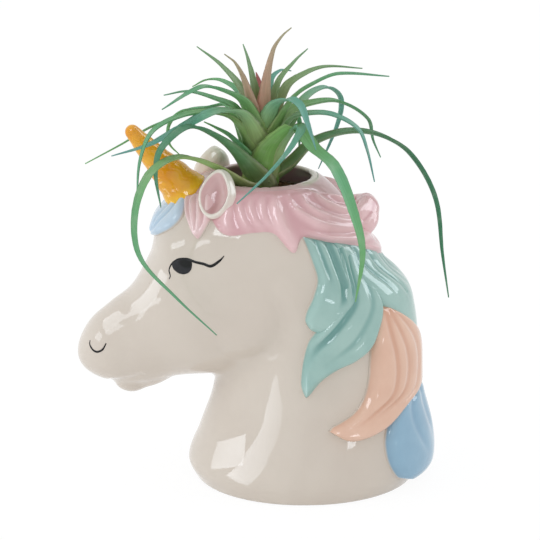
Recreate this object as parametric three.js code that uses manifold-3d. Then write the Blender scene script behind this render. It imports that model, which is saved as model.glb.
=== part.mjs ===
// Unicorn planter: a hollow ceramic head with its mane in relief, a foam block, a fibre pad
// and an artificial strap-leaf plant. Millimetres, nose along -X, the animal's left along -Y, foot on z = 0.
import * as THREE from "three";
import { mergeVertices } from "three/addons/utils/BufferGeometryUtils.js";
import Module from "manifold-3d";

const wasm = await Module();
wasm.setup();

// Pot
const CLEARANCE = 0.3;
const WALL = 5;
const FLOOR = 6;
const RIM_HEIGHT = 148;
const MOUTH_X = -20;
const MOUTH_HALF_LENGTH = 21;
const MOUTH_HALF_WIDTH = 20;
const MOUTH_DEPTH = 22;
const HALF_WIDTH = 50;

// Neck and crown sections: height in percent of the rim height, front, back, breadth in percent of the widest
const NECK_SECTIONS = [
  [0, -51, 52, 94],
  [6, -55, 57.5, 100],
  [16, -49.8, 57, 96],
  [30, -43, 52, 87],
  [47, -42, 50.5, 82],
  [62, -54, 45, 83],
  [74, -66, 34, 82],
  [85, -67.5, 26.5, 75],
  [94, -57, 16, 61],
  [100, -45.5, 5.5, 49],
  [106, -30, -10, 20],
];

// Muzzle sections across an axis that drops towards the nose: place in percent of its length, top, bottom,
// breadth in percent of the widest
const MUZZLE_LENGTH = 78;
const MUZZLE_SECTIONS = [
  [0, 58, -30, 72],
  [18, 56, -24, 72],
  [33.3, 45, -18, 66],
  [51.3, 35, -12.6, 54],
  [66.7, 32, -11, 46],
  [79.5, 29.5, -6, 42],
  [100, 26, 0, 38],
];
const MUZZLE_X = -30;
const MUZZLE_HEIGHT = 54;
const MUZZLE_DROP = 25;
const MUZZLE_REAR = { start: 6, depth: 26 };
const NOSE_ROUND = 18;
const MUZZLE_BLEND = 500;

// Cheek disc and chin: place, half sizes, breadth in percent of the widest
const CHEEK = { x: -31.6, height: 60.5, halfLength: 25, halfHeight: 26, breadth: 77.4, flare: 0.22 };
const CHEEK_BLEND = 120;
const CHIN = { back: 51.5, height: 32.8, halfLength: 8.2, halfHeight: 5.6, breadth: 20 };
const CHIN_BLEND = 60;

// Horn and ears
const HORN_DROP = 7.7;
const HORN_LENGTH = 41;
const HORN_RISE = 50;
const HORN_BASE_RADIUS = 10.2;
const HORN_TIP_RADIUS = 3.4;
const HORN_ROOT = 10;
const HORN_FLUTE = 0.025;
const HORN_TURNS = 6;
const HORN_FACETS = 16;
const HORN_STEPS = 12;
const EAR = { x: -41.6, spread: 24, drop: 3.2, halfWidth: 8.4, halfThickness: 4.4, halfHeight: 11.8 };
const EAR_HOLLOW = { halfWidth: 5.9, depth: 3.4, halfHeight: 9.4, forward: 0.6 };
const EAR_TURN = 24;
const EAR_LEAN = 26;
const EAR_TILT = 3;

// Relief of the mane above the head
const LOCK_EDGE = 1.1;
const LOCK_SINK = 4;
const LOCK_GAP = 0.4;

// Foam, pad and stem
const FOAM_SIDE = 24;
const PAD_EDGE_DROP = 8.5;
const PAD_DOME = 1.2;
const PAD_THICKNESS = 9;
const PAD_GAP = 1;
const STEM_RADIUS = 4.2;
const STEM_TOP_RADIUS = 2;
const STEM_RISE = 30;
const STEM_DEPTH = 48;
const LEAF_THICKNESS = 1.1;
const LEAF_DISH = 0.3;
const LEAF_SHEATH = 0.8;
const LEAF_GAP = 0.3;
const LEAF_SPAN = 100;

// Grid spacing of the cast skin
const SKIN_CELL = 8;
const CAVITY_CELL = 10;
const SKIN_LIMIT = 60;
const SKIN_MARGIN = 16;

const UP = new THREE.Vector3(0, 0, 1);

// Smooth curve through rows of a table, read at a place of the first column.
function readTable(rows, place, column) {
  const last = rows.length - 1;
  let i = 0;
  while (i < last - 1 && place > rows[i + 1][0]) i++;
  const slope = (k) => {
    const a = Math.max(k - 1, 0);
    const b = Math.min(k + 1, last);
    return (rows[b][column] - rows[a][column]) / (rows[b][0] - rows[a][0]);
  };
  const step = rows[i + 1][0] - rows[i][0];
  const t = THREE.MathUtils.clamp((place - rows[i][0]) / step, 0, 1);
  const eased = t * t * (3 - 2 * t);
  const start = t * (1 - t) * (1 - t) * step * slope(i);
  const end = t * t * (t - 1) * step * slope(i + 1);
  return rows[i][column] * (1 - eased) + rows[i + 1][column] * eased + start + end;
}

function smoothMax(a, b, blend) {
  const share = THREE.MathUtils.clamp(0.5 + (0.5 * (a - b)) / blend, 0, 1);
  return b + (a - b) * share + blend * share * (1 - share);
}

const heightAt = (percent) => (percent * RIM_HEIGHT) / 100;
const halfWidthAt = (percent) => (percent * HALF_WIDTH) / 100;

// Front, back and half width of the neck at a height, drawn in by inset.
function neckSection(z, inset) {
  const percent = (100 * z) / RIM_HEIGHT;
  return {
    front: readTable(NECK_SECTIONS, percent, 1) + inset,
    back: readTable(NECK_SECTIONS, percent, 2) - inset,
    halfWidth: halfWidthAt(readTable(NECK_SECTIONS, percent, 3)) - inset,
  };
}

function neckBreadth(x, z, inset) {
  const { front, back, halfWidth } = neckSection(z, inset);
  const offset = (2 * x - front - back) / (back - front);
  return halfWidth * halfWidth * (1 - offset * offset);
}

function muzzleBreadth(x, z, inset) {
  const drop = THREE.MathUtils.degToRad(MUZZLE_DROP);
  const dx = x - MUZZLE_X;
  const dz = z - heightAt(MUZZLE_HEIGHT);
  const along = -Math.cos(drop) * dx - Math.sin(drop) * dz;
  const across = -Math.sin(drop) * dx + Math.cos(drop) * dz;
  const percent = (100 * along) / MUZZLE_LENGTH;
  const top = readTable(MUZZLE_SECTIONS, percent, 1) - inset;
  const bottom = readTable(MUZZLE_SECTIONS, percent, 2) + inset;
  const halfWidth = halfWidthAt(readTable(MUZZLE_SECTIONS, percent, 3)) - inset;
  const offset = (2 * across - top - bottom) / (top - bottom);
  const nose = Math.max(0, along - MUZZLE_LENGTH + inset + NOSE_ROUND) / NOSE_ROUND;
  const rear = Math.max(0, MUZZLE_REAR.start - along) / MUZZLE_REAR.depth;
  return halfWidth * halfWidth * (1 - offset * offset - nose * nose - rear * rear);
}

function cheekBreadth(x, z, inset) {
  const across = (x - CHEEK.x) / (CHEEK.halfLength - inset);
  const up = (z - heightAt(CHEEK.height)) / (CHEEK.halfHeight - inset);
  const halfWidth = halfWidthAt(CHEEK.breadth) + CHEEK.flare * (x - CHEEK.x) - inset;
  return halfWidth * halfWidth * (1 - (across * across + up * up) ** 3);
}

function chinBreadth(x, z) {
  const across = (x - MUZZLE_X + CHIN.back) / CHIN.halfLength;
  const up = (z - heightAt(CHIN.height)) / CHIN.halfHeight;
  return halfWidthAt(CHIN.breadth) ** 2 * (1 - across * across - up * up);
}

// Square of the head's half breadth at a point of its side view, negative outside the outline.
function headBreadth(x, z, inset) {
  const neck = neckBreadth(x, z, inset);
  const long = smoothMax(neck, muzzleBreadth(x, z, inset), MUZZLE_BLEND);
  const cheeked = smoothMax(long, cheekBreadth(x, z, inset), CHEEK_BLEND);
  return inset > 0 ? cheeked : smoothMax(cheeked, chinBreadth(x, z), CHIN_BLEND);
}

// Field that is positive inside the head, with inset as the wall taken off.
function headField(inset) {
  return (p) => {
    const body = headBreadth(p.x, p.z, inset) - p.y * p.y;
    const above = (p.z + SKIN_CELL) * SKIN_LIMIT;
    const below = (RIM_HEIGHT + SKIN_CELL - p.z) * SKIN_LIMIT;
    return Math.min(body, above, below);
  };
}

function gradient(field, p) {
  const h = 0.05;
  const slope = new THREE.Vector3();
  for (const axis of ["x", "y", "z"]) {
    const ahead = p.clone();
    const behind = p.clone();
    ahead[axis] += h;
    behind[axis] -= h;
    slope[axis] = (field(ahead) - field(behind)) / (2 * h);
  }
  return slope;
}

// Moves a point onto the surface where the field is zero.
function settle(field, point) {
  const p = point.clone();
  for (let i = 0; i < 8; i++) {
    const slope = gradient(field, p);
    const step = slope.multiplyScalar(-field(p) / Math.max(slope.lengthSq(), 1e-9));
    p.add(step.clampLength(0, SKIN_CELL / 2));
  }
  return p;
}

// Closed skin round the positive region of a field: one vertex in each crossed cell of a grid.
function skin(field, low, high, cell) {
  const size = high.clone().sub(low).divideScalar(cell).ceil();
  const node = (i, j, k) => (k * (size.y + 1) + j) * (size.x + 1) + i;
  const place = (i, j, k) => new THREE.Vector3(i, j, k).multiplyScalar(cell).add(low);
  const values = [];
  for (let k = 0; k <= size.z; k++)
    for (let j = 0; j <= size.y; j++)
      for (let i = 0; i <= size.x; i++) values.push(field(place(i, j, k)));
  const corners = [0, 1, 2, 3, 4, 5, 6, 7].map((n) => [n & 1, (n >> 1) & 1, n >> 2]);
  const edges = corners.flatMap((a, m) =>
    corners.slice(m + 1).filter((b) => a.filter((v, axis) => v !== b[axis]).length === 1).map((b) => [a, b]),
  );
  const points = [];
  const vertexOf = new Map();
  for (let k = 0; k < size.z; k++)
    for (let j = 0; j < size.y; j++)
      for (let i = 0; i < size.x; i++) {
        const mean = new THREE.Vector3();
        let crossings = 0;
        for (const [a, b] of edges) {
          const va = values[node(i + a[0], j + a[1], k + a[2])];
          const vb = values[node(i + b[0], j + b[1], k + b[2])];
          if (va > 0 === vb > 0) continue;
          const from = place(i + a[0], j + a[1], k + a[2]);
          mean.add(from.lerp(place(i + b[0], j + b[1], k + b[2]), va / (va - vb)));
          crossings++;
        }
        if (crossings === 0) continue;
        vertexOf.set(node(i, j, k), points.length);
        points.push(settle(field, mean.divideScalar(crossings)));
      }
  const faces = [];
  const axes = [
    [1, 0, 0],
    [0, 1, 0],
    [0, 0, 1],
  ];
  for (let k = 1; k < size.z; k++)
    for (let j = 1; j < size.y; j++)
      for (let i = 1; i < size.x; i++)
        axes.forEach((axis, n) => {
          const inside = values[node(i, j, k)] > 0;
          if (inside === values[node(i + axis[0], j + axis[1], k + axis[2])] > 0) return;
          const u = axes[(n + 1) % 3];
          const v = axes[(n + 2) % 3];
          const around = (a, b) =>
            vertexOf.get(node(i - a * u[0] - b * v[0], j - a * u[1] - b * v[1], k - a * u[2] - b * v[2]));
          const ring = [around(1, 1), around(0, 1), around(0, 0), around(1, 0)];
          if (!inside) ring.reverse();
          const [a, b, c, d] = ring;
          const even = points[a].distanceTo(points[c]) <= points[b].distanceTo(points[d]);
          faces.push(...(even ? [a, b, c, a, c, d] : [b, c, d, b, d, a]));
        });
  const geometry = new THREE.BufferGeometry();
  geometry.setAttribute("position", new THREE.Float32BufferAttribute(points.flatMap((p) => p.toArray()), 3));
  geometry.setIndex(faces);
  return geometry;
}

// Closed body through rings of points, each end closed round the middle of its ring.
function loft(rings) {
  const count = rings[0].length;
  const points = rings.flat();
  const faces = [];
  for (let r = 0; r + 1 < rings.length; r++)
    for (let i = 0; i < count; i++) {
      const a = r * count + i;
      const b = r * count + ((i + 1) % count);
      faces.push(a, b, b + count, a, b + count, a + count);
    }
  const middle = (ring) => ring.reduce((sum, p) => sum.add(p), new THREE.Vector3()).divideScalar(count);
  points.push(middle(rings[0]), middle(rings[rings.length - 1]));
  const top = (rings.length - 1) * count;
  for (let i = 0; i < count; i++) {
    const next = (i + 1) % count;
    faces.push(points.length - 2, next, i, points.length - 1, top + i, top + next);
  }
  const geometry = new THREE.BufferGeometry();
  geometry.setAttribute("position", new THREE.Float32BufferAttribute(points.flatMap((p) => p.toArray()), 3));
  geometry.setIndex(faces);
  return geometry;
}

function solid(geometry) {
  const bare = geometry.clone();
  bare.deleteAttribute("normal");
  bare.deleteAttribute("uv");
  const merged = mergeVertices(bare, 1e-3);
  const vertProperties = new Float32Array(merged.attributes.position.array);
  const triVerts = new Uint32Array(merged.index.array);
  return new wasm.Manifold(new wasm.Mesh({ numProp: 3, vertProperties, triVerts }));
}

function geometryOf(body) {
  const { vertProperties, triVerts } = body.getMesh();
  const geometry = new THREE.BufferGeometry();
  geometry.setAttribute("position", new THREE.BufferAttribute(new Float32Array(vertProperties), 3));
  geometry.setIndex(new THREE.BufferAttribute(new Uint32Array(triVerts), 1));
  return geometry;
}

const mirrored = (geometry) => {
  const copy = geometry.clone().scale(1, -1, 1);
  const order = copy.index.array;
  for (let i = 0; i < order.length; i += 3) [order[i + 1], order[i + 2]] = [order[i + 2], order[i + 1]];
  return copy;
};

const box = (x0, x1, y0, y1, z0, z1) =>
  solid(
    new THREE.BoxGeometry(x1 - x0, y1 - y0, z1 - z0).translate((x0 + x1) / 2, (y0 + y1) / 2, (z0 + z1) / 2),
  );

function upright(halfLength, halfWidth, x, z0, z1, facets) {
  const tube = new THREE.CylinderGeometry(1, 1, z1 - z0, facets).rotateX(Math.PI / 2);
  return solid(tube.scale(halfLength, halfWidth, 1).translate(x, 0, (z0 + z1) / 2));
}

// Head shell: cast skin less the cavity, the mouth and all beyond the foot and rim planes
const skinSide = SKIN_CELL * Math.ceil(HALF_WIDTH / SKIN_CELL + 1);
const skinLow = new THREE.Vector3(MUZZLE_X - MUZZLE_LENGTH - SKIN_MARGIN, -skinSide, -3 * SKIN_CELL);
const skinHigh = new THREE.Vector3(HALF_WIDTH + SKIN_MARGIN, skinSide, RIM_HEIGHT + 3 * SKIN_CELL);
const beyond = RIM_HEIGHT + MUZZLE_LENGTH;
const outerField = headField(0);
const outerSkin = skin(outerField, skinLow, skinHigh, SKIN_CELL);
const underFoot = box(-beyond, beyond, -beyond, beyond, -beyond, 0);
const overRim = box(-beyond, beyond, -beyond, beyond, RIM_HEIGHT, RIM_HEIGHT + beyond);
const underFloor = box(-beyond, beyond, -beyond, beyond, -beyond, FLOOR);
const cavity = solid(skin(headField(WALL), skinLow, skinHigh, CAVITY_CELL)).subtract(underFloor);
const mouth = upright(
  MOUTH_HALF_LENGTH,
  MOUTH_HALF_WIDTH,
  MOUTH_X,
  RIM_HEIGHT - MOUTH_DEPTH,
  RIM_HEIGHT + MOUTH_DEPTH,
  48,
);
const shell = solid(outerSkin).subtract(underFoot).subtract(overRim).subtract(cavity).subtract(mouth);

// Head skin moved out by the clearance, which what is laid on the head is cut back to.
outerSkin.computeVertexNormals();
const grownSkin = outerSkin.clone();
for (let i = 0; i < grownSkin.attributes.position.count; i++) {
  const point = new THREE.Vector3().fromBufferAttribute(outerSkin.attributes.position, i);
  const normal = new THREE.Vector3().fromBufferAttribute(outerSkin.attributes.normal, i);
  point.addScaledVector(normal, CLEARANCE);
  grownSkin.attributes.position.setXYZ(i, point.x, point.y, point.z);
}
const overHead = solid(grownSkin).add(mouth);

// Horn on the forehead, in the middle plane
const HORN_HEIGHT = RIM_HEIGHT - HORN_DROP;
const hornSeat = settle(outerField, new THREE.Vector3(neckSection(HORN_HEIGHT, 0).front, 0, HORN_HEIGHT));
const hornRise = THREE.MathUtils.degToRad(HORN_RISE);
const hornAxis = new THREE.Vector3(-Math.cos(hornRise), 0, Math.sin(hornRise));

function hornSolid(margin) {
  const side = new THREE.Vector3(0, 1, 0);
  const front = side.clone().cross(hornAxis);
  const rings = [];
  const bodyLength = HORN_LENGTH - HORN_TIP_RADIUS;
  const addRing = (distance, radius, flute) => {
    const ring = [];
    for (let i = 0; i < HORN_FACETS; i++) {
      const turn = (2 * Math.PI * i) / HORN_FACETS;
      const wave = 1 + flute * Math.cos(turn - (2 * Math.PI * HORN_TURNS * distance) / HORN_LENGTH);
      const point = hornSeat.clone().addScaledVector(hornAxis, distance);
      point.addScaledVector(side, Math.cos(turn) * radius * wave);
      ring.push(point.addScaledVector(front, -Math.sin(turn) * radius * wave));
    }
    rings.push(ring);
  };
  for (let n = -2; n <= HORN_STEPS; n++) {
    const t = Math.max(0, n / HORN_STEPS);
    const plain = THREE.MathUtils.lerp(HORN_BASE_RADIUS, HORN_TIP_RADIUS, t);
    const radius = margin > 0 ? plain * (1 + HORN_FLUTE) + margin : plain;
    addRing(n < 0 ? (n * HORN_ROOT) / 2 : t * bodyLength, radius, margin > 0 ? 0 : HORN_FLUTE);
  }
  for (const angle of [35, 70]) {
    const a = THREE.MathUtils.degToRad(angle);
    const radius = HORN_TIP_RADIUS + margin;
    addRing(bodyLength + radius * Math.sin(a), radius * Math.cos(a), 0);
  }
  return solid(loft(rings));
}
const horn = hornSolid(0).subtract(overHead);

// Ears: a cupped oval that faces outwards and a little forwards
function earSolid(margin) {
  const place = (geometry) => {
    geometry.rotateX(THREE.MathUtils.degToRad(-EAR_LEAN));
    geometry.rotateY(THREE.MathUtils.degToRad(EAR_TILT));
    geometry.rotateZ(THREE.MathUtils.degToRad(-EAR_TURN));
    return geometry.translate(EAR.x, -EAR.spread, RIM_HEIGHT - EAR.drop);
  };
  const outer = new THREE.SphereGeometry(1, 16, 10).rotateX(Math.PI / 2);
  outer.scale(EAR.halfWidth + margin, EAR.halfThickness + margin, EAR.halfHeight + margin);
  const body = solid(place(outer));
  if (margin > 0) return body;
  const hollow = new THREE.SphereGeometry(1, 14, 8).rotateX(Math.PI / 2);
  hollow.scale(EAR_HOLLOW.halfWidth, EAR_HOLLOW.depth, EAR_HOLLOW.halfHeight);
  hollow.translate(-EAR_HOLLOW.forward, -EAR.halfThickness, 0);
  return body.subtract(solid(place(hollow))).subtract(overHead);
}
const ear = earSolid(0);

// Point on the head at an angle round from the nape to the left and a height in percent.
function onHead(angle, percent) {
  const z = heightAt(percent);
  const { front, back, halfWidth } = neckSection(z, 0);
  const turn = THREE.MathUtils.degToRad(angle);
  const x = (front + back) / 2 + ((back - front) / 2) * Math.cos(turn);
  const point = settle(outerField, new THREE.Vector3(x, -halfWidth * Math.sin(turn), z));
  return { point, normal: gradient(outerField, point).normalize().negate() };
}

// Lock of the mane: a raised sheet between two edges, each row holding angle and height of both edges.
function lockSolid({ rows, height, full }, margin) {
  const edge = (column) =>
    new THREE.CatmullRomCurve3(
      rows.map((row) => new THREE.Vector3(row[column], row[column + 1], 0)),
      false,
      "centripetal",
    );
  const left = edge(0);
  const right = edge(2);
  const steps = 2 * (rows.length - 1);
  const columns = 4;
  const rings = [];
  for (let s = 0; s <= steps; s++) {
    const a = left.getPoint(s / steps);
    const b = right.getPoint(s / steps);
    const width = onHead(a.x, a.y).point.distanceTo(onHead(b.x, b.y).point);
    const top = [];
    const bottom = [];
    for (let c = 0; c <= columns; c++) {
      const spread = 1 + (2 * margin) / width;
      const v = 0.5 + (c / columns - 0.5) * spread;
      const { point, normal } = onHead(a.x + (b.x - a.x) * v, a.y + (b.y - a.y) * v);
      const arch = full && c > columns / 2 ? 1 : 1 - (2 * c / columns - 1) ** 2;
      const rise = LOCK_EDGE + (height - LOCK_EDGE) * arch + margin;
      top.push(point.clone().addScaledVector(normal, rise));
      bottom.unshift(point.clone().addScaledVector(normal, -LOCK_SINK));
    }
    rings.push([...top, ...bottom]);
  }
  const body = solid(loft(rings));
  return body.volume() < 0 ? solid(loft(rings.map((ring) => [...ring].reverse()))) : body;
}

// Rear tuft: a swept-up point of hair in the middle plane, path from the nape to its tip
const TUFT_PATH = [
  [12, -38, 12],
  [19, -30, 11],
  [25.3, -22.5, 8.6],
  [29.6, -16.4, 5.6],
  [31.9, -13.1, 3.2],
];
const TUFT_FLAT = 0.9;

function tuftSolid() {
  const path = TUFT_PATH.map(([x, z, radius]) => [new THREE.Vector3(x, 0, RIM_HEIGHT + z), radius]);
  const axis = path[path.length - 1][0].clone().sub(path[0][0]).normalize();
  const side = new THREE.Vector3(0, 1, 0);
  const over = side.clone().cross(axis);
  const rings = path.map(([point, radius]) =>
    Array.from({ length: 14 }, (unused, i) => {
      const turn = (2 * Math.PI * i) / 14;
      const out = point.clone().addScaledVector(side, radius * TUFT_FLAT * Math.cos(turn));
      return out.addScaledVector(over, -radius * Math.sin(turn));
    }),
  );
  return solid(loft(rings));
}

// Locks of the left side and the middle: rows of angle, height, angle, height
const LOCKS = {
  crown: {
    height: 3.2,
    full: true,
    colour: "pink",
    rows: [
      [124, 90.5, 122, 98],
      [112, 87, 110, 99.6],
      [97, 88, 95, 99.6],
      [85, 87.5, 83, 99.6],
      [76, 82, 74, 99.6],
      [68, 86, 66, 99.6],
      [52, 83, 50, 98],
      [34, 80.5, 32, 95],
      [17, 78.5, 17, 91],
      [0.6, 78, 0.6, 88],
    ],
  },
  forelock_pink: {
    height: 3,
    colour: "pink",
    rows: [
      [163, 94, 140, 98],
      [153, 92, 131, 95.5],
      [147, 90, 128.5, 92.5],
      [139, 88, 128.5, 89.5],
      [131.5, 85.5, 129.5, 85.5],
    ],
  },
  mint_upper: {
    height: 4.2,
    colour: "mint",
    rows: [
      [67, 85, 47, 81.5],
      [66, 78.5, 49.5, 76.5],
      [68, 73, 55, 70.5],
      [76, 68, 61, 66],
      [84, 63.5, 71, 62],
      [90.5, 57.5, 88, 57],
    ],
  },
  mint_rear: {
    height: 5.4,
    full: true,
    colour: "mint",
    rows: [
      [45, 80, 0.6, 76],
      [42, 75, 0.6, 70],
      [42, 69, 0.6, 64],
      [41, 63.5, 0.6, 58],
      [30, 59, 0.6, 51.5],
      [14, 51, 8, 47.5],
    ],
  },
  mint_lower: {
    height: 4.2,
    colour: "mint",
    rows: [
      [46, 79.5, 43, 78.5],
      [50.5, 74, 43, 73],
      [56.5, 69, 43.5, 67.5],
      [64, 64.5, 46, 61.5],
      [73, 61, 53, 56],
      [85, 56, 60, 51],
      [93, 52, 70, 47.5],
      [99, 46, 82, 45],
      [100.5, 40.5, 92, 41],
      [98.5, 36, 97.5, 36],
    ],
  },
  peach: {
    height: 4.6,
    full: true,
    colour: "peach",
    rows: [
      [43, 61.5, 41, 61],
      [50, 57, 31, 57],
      [56, 51.5, 19, 52.5],
      [59.5, 45, 8, 46.5],
      [61, 39, 4, 39],
      [64, 33.5, 8, 32],
      [70, 29, 30, 28.5],
      [78, 26.5, 55, 22.5],
      [83, 25.3, 74, 21.5],
      [85, 24.7, 84.5, 24.3],
    ],
  },
  nape_blue: {
    height: 4.4,
    full: true,
    colour: "blue",
    rows: [
      [12, 29.5, 0.6, 31],
      [36, 26.5, 0.6, 27],
      [47, 23, 0.6, 23],
      [53, 17, 0.6, 17],
      [51, 12, 0.6, 12],
      [45, 7.5, 0.6, 7.5],
      [36, 4, 0.6, 4],
    ],
  },
};
const FORELOCK_BLUE = {
  height: 2.6,
  rows: [
    [161, 94, 199, 94],
    [151, 90, 209, 90],
    [153, 86.5, 207, 86.5],
    [162, 83.5, 198, 83.5],
    [176, 81, 184, 81],
  ],
};

const tuft = tuftSolid();
const hornMargin = hornSolid(LOCK_GAP);
const earMargin = earSolid(LOCK_GAP);
const locks = {};
let taken = hornMargin.add(earMargin).add(overHead);
const blueForelock = lockSolid(FORELOCK_BLUE, 0).subtract(taken);
taken = taken.add(lockSolid(FORELOCK_BLUE, LOCK_GAP));
for (const [name, lock] of Object.entries(LOCKS)) {
  locks[name] = lockSolid(lock, 0).subtract(taken);
  taken = taken.add(lockSolid(lock, LOCK_GAP));
}
const tuftFree = tuft.subtract(overHead).subtract(taken).subtract(
  solid(mirrored(geometryOf(lockSolid(LOCKS.crown, LOCK_GAP)))),
);

// Foam block that stands on the floor under the mouth, with a hole for the stem
const padTop = RIM_HEIGHT - PAD_EDGE_DROP;
const padBottom = padTop - PAD_THICKNESS;
const foamTop = padBottom - CLEARANCE;
const stemBottom = foamTop - STEM_DEPTH;
const half = FOAM_SIDE / 2;
const stemHole = upright(
  STEM_RADIUS + CLEARANCE,
  STEM_RADIUS + CLEARANCE,
  MOUTH_X,
  stemBottom - CLEARANCE,
  RIM_HEIGHT,
  20,
);
const foam = box(MOUTH_X - half, MOUTH_X + half, -half, half, FLOOR + CLEARANCE, foamTop).subtract(stemHole);

// Fibre pad in the mouth, domed, with the same hole
const padProfile = [
  new THREE.Vector2(0, padBottom),
  new THREE.Vector2(0.9, padBottom),
  new THREE.Vector2(1, padBottom + PAD_THICKNESS / 3),
  new THREE.Vector2(0.97, padTop),
  new THREE.Vector2(0.6, padTop + PAD_DOME),
  new THREE.Vector2(0, padTop + PAD_DOME),
];
const padBlank = new THREE.LatheGeometry(padProfile, 28).rotateX(Math.PI / 2);
padBlank.scale(MOUTH_HALF_LENGTH - PAD_GAP, MOUTH_HALF_WIDTH - PAD_GAP, 1).translate(MOUTH_X, 0, 0);
const pad = solid(padBlank).subtract(stemHole);

// Stem: a peg that thins towards the crown of leaves
const stemProfile = [
  new THREE.Vector2(0, stemBottom),
  new THREE.Vector2(STEM_RADIUS * 0.6, stemBottom),
  new THREE.Vector2(STEM_RADIUS, stemBottom + STEM_RADIUS),
  new THREE.Vector2(STEM_RADIUS, RIM_HEIGHT),
  new THREE.Vector2(STEM_TOP_RADIUS, RIM_HEIGHT + STEM_RISE - STEM_TOP_RADIUS),
  new THREE.Vector2(STEM_TOP_RADIUS * 0.6, RIM_HEIGHT + STEM_RISE),
  new THREE.Vector2(0, RIM_HEIGHT + STEM_RISE),
];
const stem = new THREE.LatheGeometry(stemProfile, 20).rotateX(Math.PI / 2).translate(MOUTH_X, 0, 0);

function stemRadiusAt(rise) {
  const t = THREE.MathUtils.clamp(rise / (STEM_RISE - STEM_TOP_RADIUS), 0, 1);
  return THREE.MathUtils.lerp(STEM_RADIUS, STEM_TOP_RADIUS, t);
}

// Leaves: root height over the rim, width, colour, route from the stem axis at rim height in hundredths
// of the leaf span
const LEAVES = [
  [22, 4, "blush", [[2, -3, 42], [5, -6, 60], [9, -7, 67], [13, -8, 71]]],
  [18, 4, "olive", [[8, 4, 42], [16, 7, 52], [22, 10, 57]]],
  [23, 3, "teal", [[5, 10, 42], [10, 14, 46], [15, 17, 45]]],
  [14, 4.5, "olive", [[12, 10, 38], [22, 16, 44], [32, 20, 46], [49, 24, 44]]],
  [14, 5, "green", [[14, -5, 37], [25, -6, 45], [35, -8, 49], [58, -10, 48]]],
  [1, 4.5, "teal", [[20, 18, 29], [27, 26, 33], [34, 32, 33], [40, 38, 26], [39, 40, 14], [30, 40, -9]]],
  [11, 5, "green", [[14, 8, 27], [25, 10, 31], [37, 12, 31], [51, 18, 21], [54, 21, 10], [58, 22, 1]]],
  [7, 5, "teal", [[13, -5, 27], [22, -10, 31], [32, -14, 31], [43, -17, 25], [47, -18, 16], [51, -18, 0]]],
  [-4, 6, "dark", [
    [14, 5, 2],
    [24, 7, 12],
    [40, 9, 17],
    [56, 10, 15],
    [70, 10, 6],
    [82, 8, -15],
    [86, 6, -43],
    [89, 2, -63],
  ]],
  [3, 6.5, "bright", [
    [4, -7, 13],
    [10, -11, 23],
    [15, -14, 25],
    [22, -20, 17],
    [31, -29, 10],
    [39, -37, -9],
    [43, -41, -27],
    [40, -43, -50],
  ]],
  [-4, 5, "teal", [[6, -15, 15], [12, -21, 25], [15, -26, 26], [10, -31, 18], [-1, -36, 8], [-14, -41, -3]]],
  [17, 5, "teal", [[5, -10, 34], [11, -15, 39], [16, -19, 37], [19, -23, 30], [23, -27, 18]]],
  [7, 3.5, "green", [[11, 15, 25], [18, 18, 22], [19, 20, 12], [19, 21, 3]]],
  [20, 4, "olive", [[-9, 7, 38], [-18, 12, 49], [-29, 18, 57]]],
  [20, 4, "blush", [[-8, -7, 44], [-13, -13, 56], [-18, -16, 61]]],
  [26, 3.5, "olive", [[-4, 3, 42], [-6, 6, 53], [-8, 8, 60]]],
  [27, 3, "red", [[-1, 6, 37], [-1, 9, 42], [-2, 11, 46]]],
  [16, 4, "bright", [[-9, 11, 35], [-17, 19, 40], [-24, 23, 40], [-31, 26, 36]]],
  [15, 5.5, "green", [[-9, -9, 36], [-20, -14, 44], [-29, -18, 46], [-47, -22, 37]]],
  [11, 4.5, "green", [[-12, 4, 30], [-22, 6, 35], [-34, 8, 38], [-45, 10, 36]]],
  [-2, 4.5, "bright", [
    [-14, 17, 28],
    [-26, 20, 27],
    [-36, 22, 25],
    [-42, 24, 18],
    [-42, 24, 9],
    [-37, 24, 3],
  ]],
  [12, 5, "teal", [[-10, -14, 32], [-22, -16, 34], [-38, -14, 26], [-53, -13, 18], [-70, -12, 13]]],
  [9, 5, "green", [
    [-13, -5, 27],
    [-23, -9, 32],
    [-37, -14, 32],
    [-51, -19, 26],
    [-57, -21, 13],
    [-59, -22, -5],
  ]],
  [5, 3.5, "bright", [[-13, 7, 25], [-28, 11, 27], [-49, 13, 21], [-65, 13, 12], [-82, 13, 3]]],
  [1, 5.5, "dark", [
    [-14, -11, 15],
    [-23, -17, 23],
    [-35, -24, 29],
    [-47, -26, 20],
    [-50, -26, 9],
    [-48, -23, -9],
  ]],
  [-4, 6.5, "green", [
    [-13, -9, 2],
    [-25, -15, 11],
    [-39, -24, 15],
    [-53, -35, 10],
    [-60, -41, -7],
    [-58, -45, -26],
    [-42, -47, -45],
    [-24, -48, -63],
  ]],
  [4, 5, "bright", [[-14, -3, 18], [-22, -5, 24], [-27, -6, 27]]],
];

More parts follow.
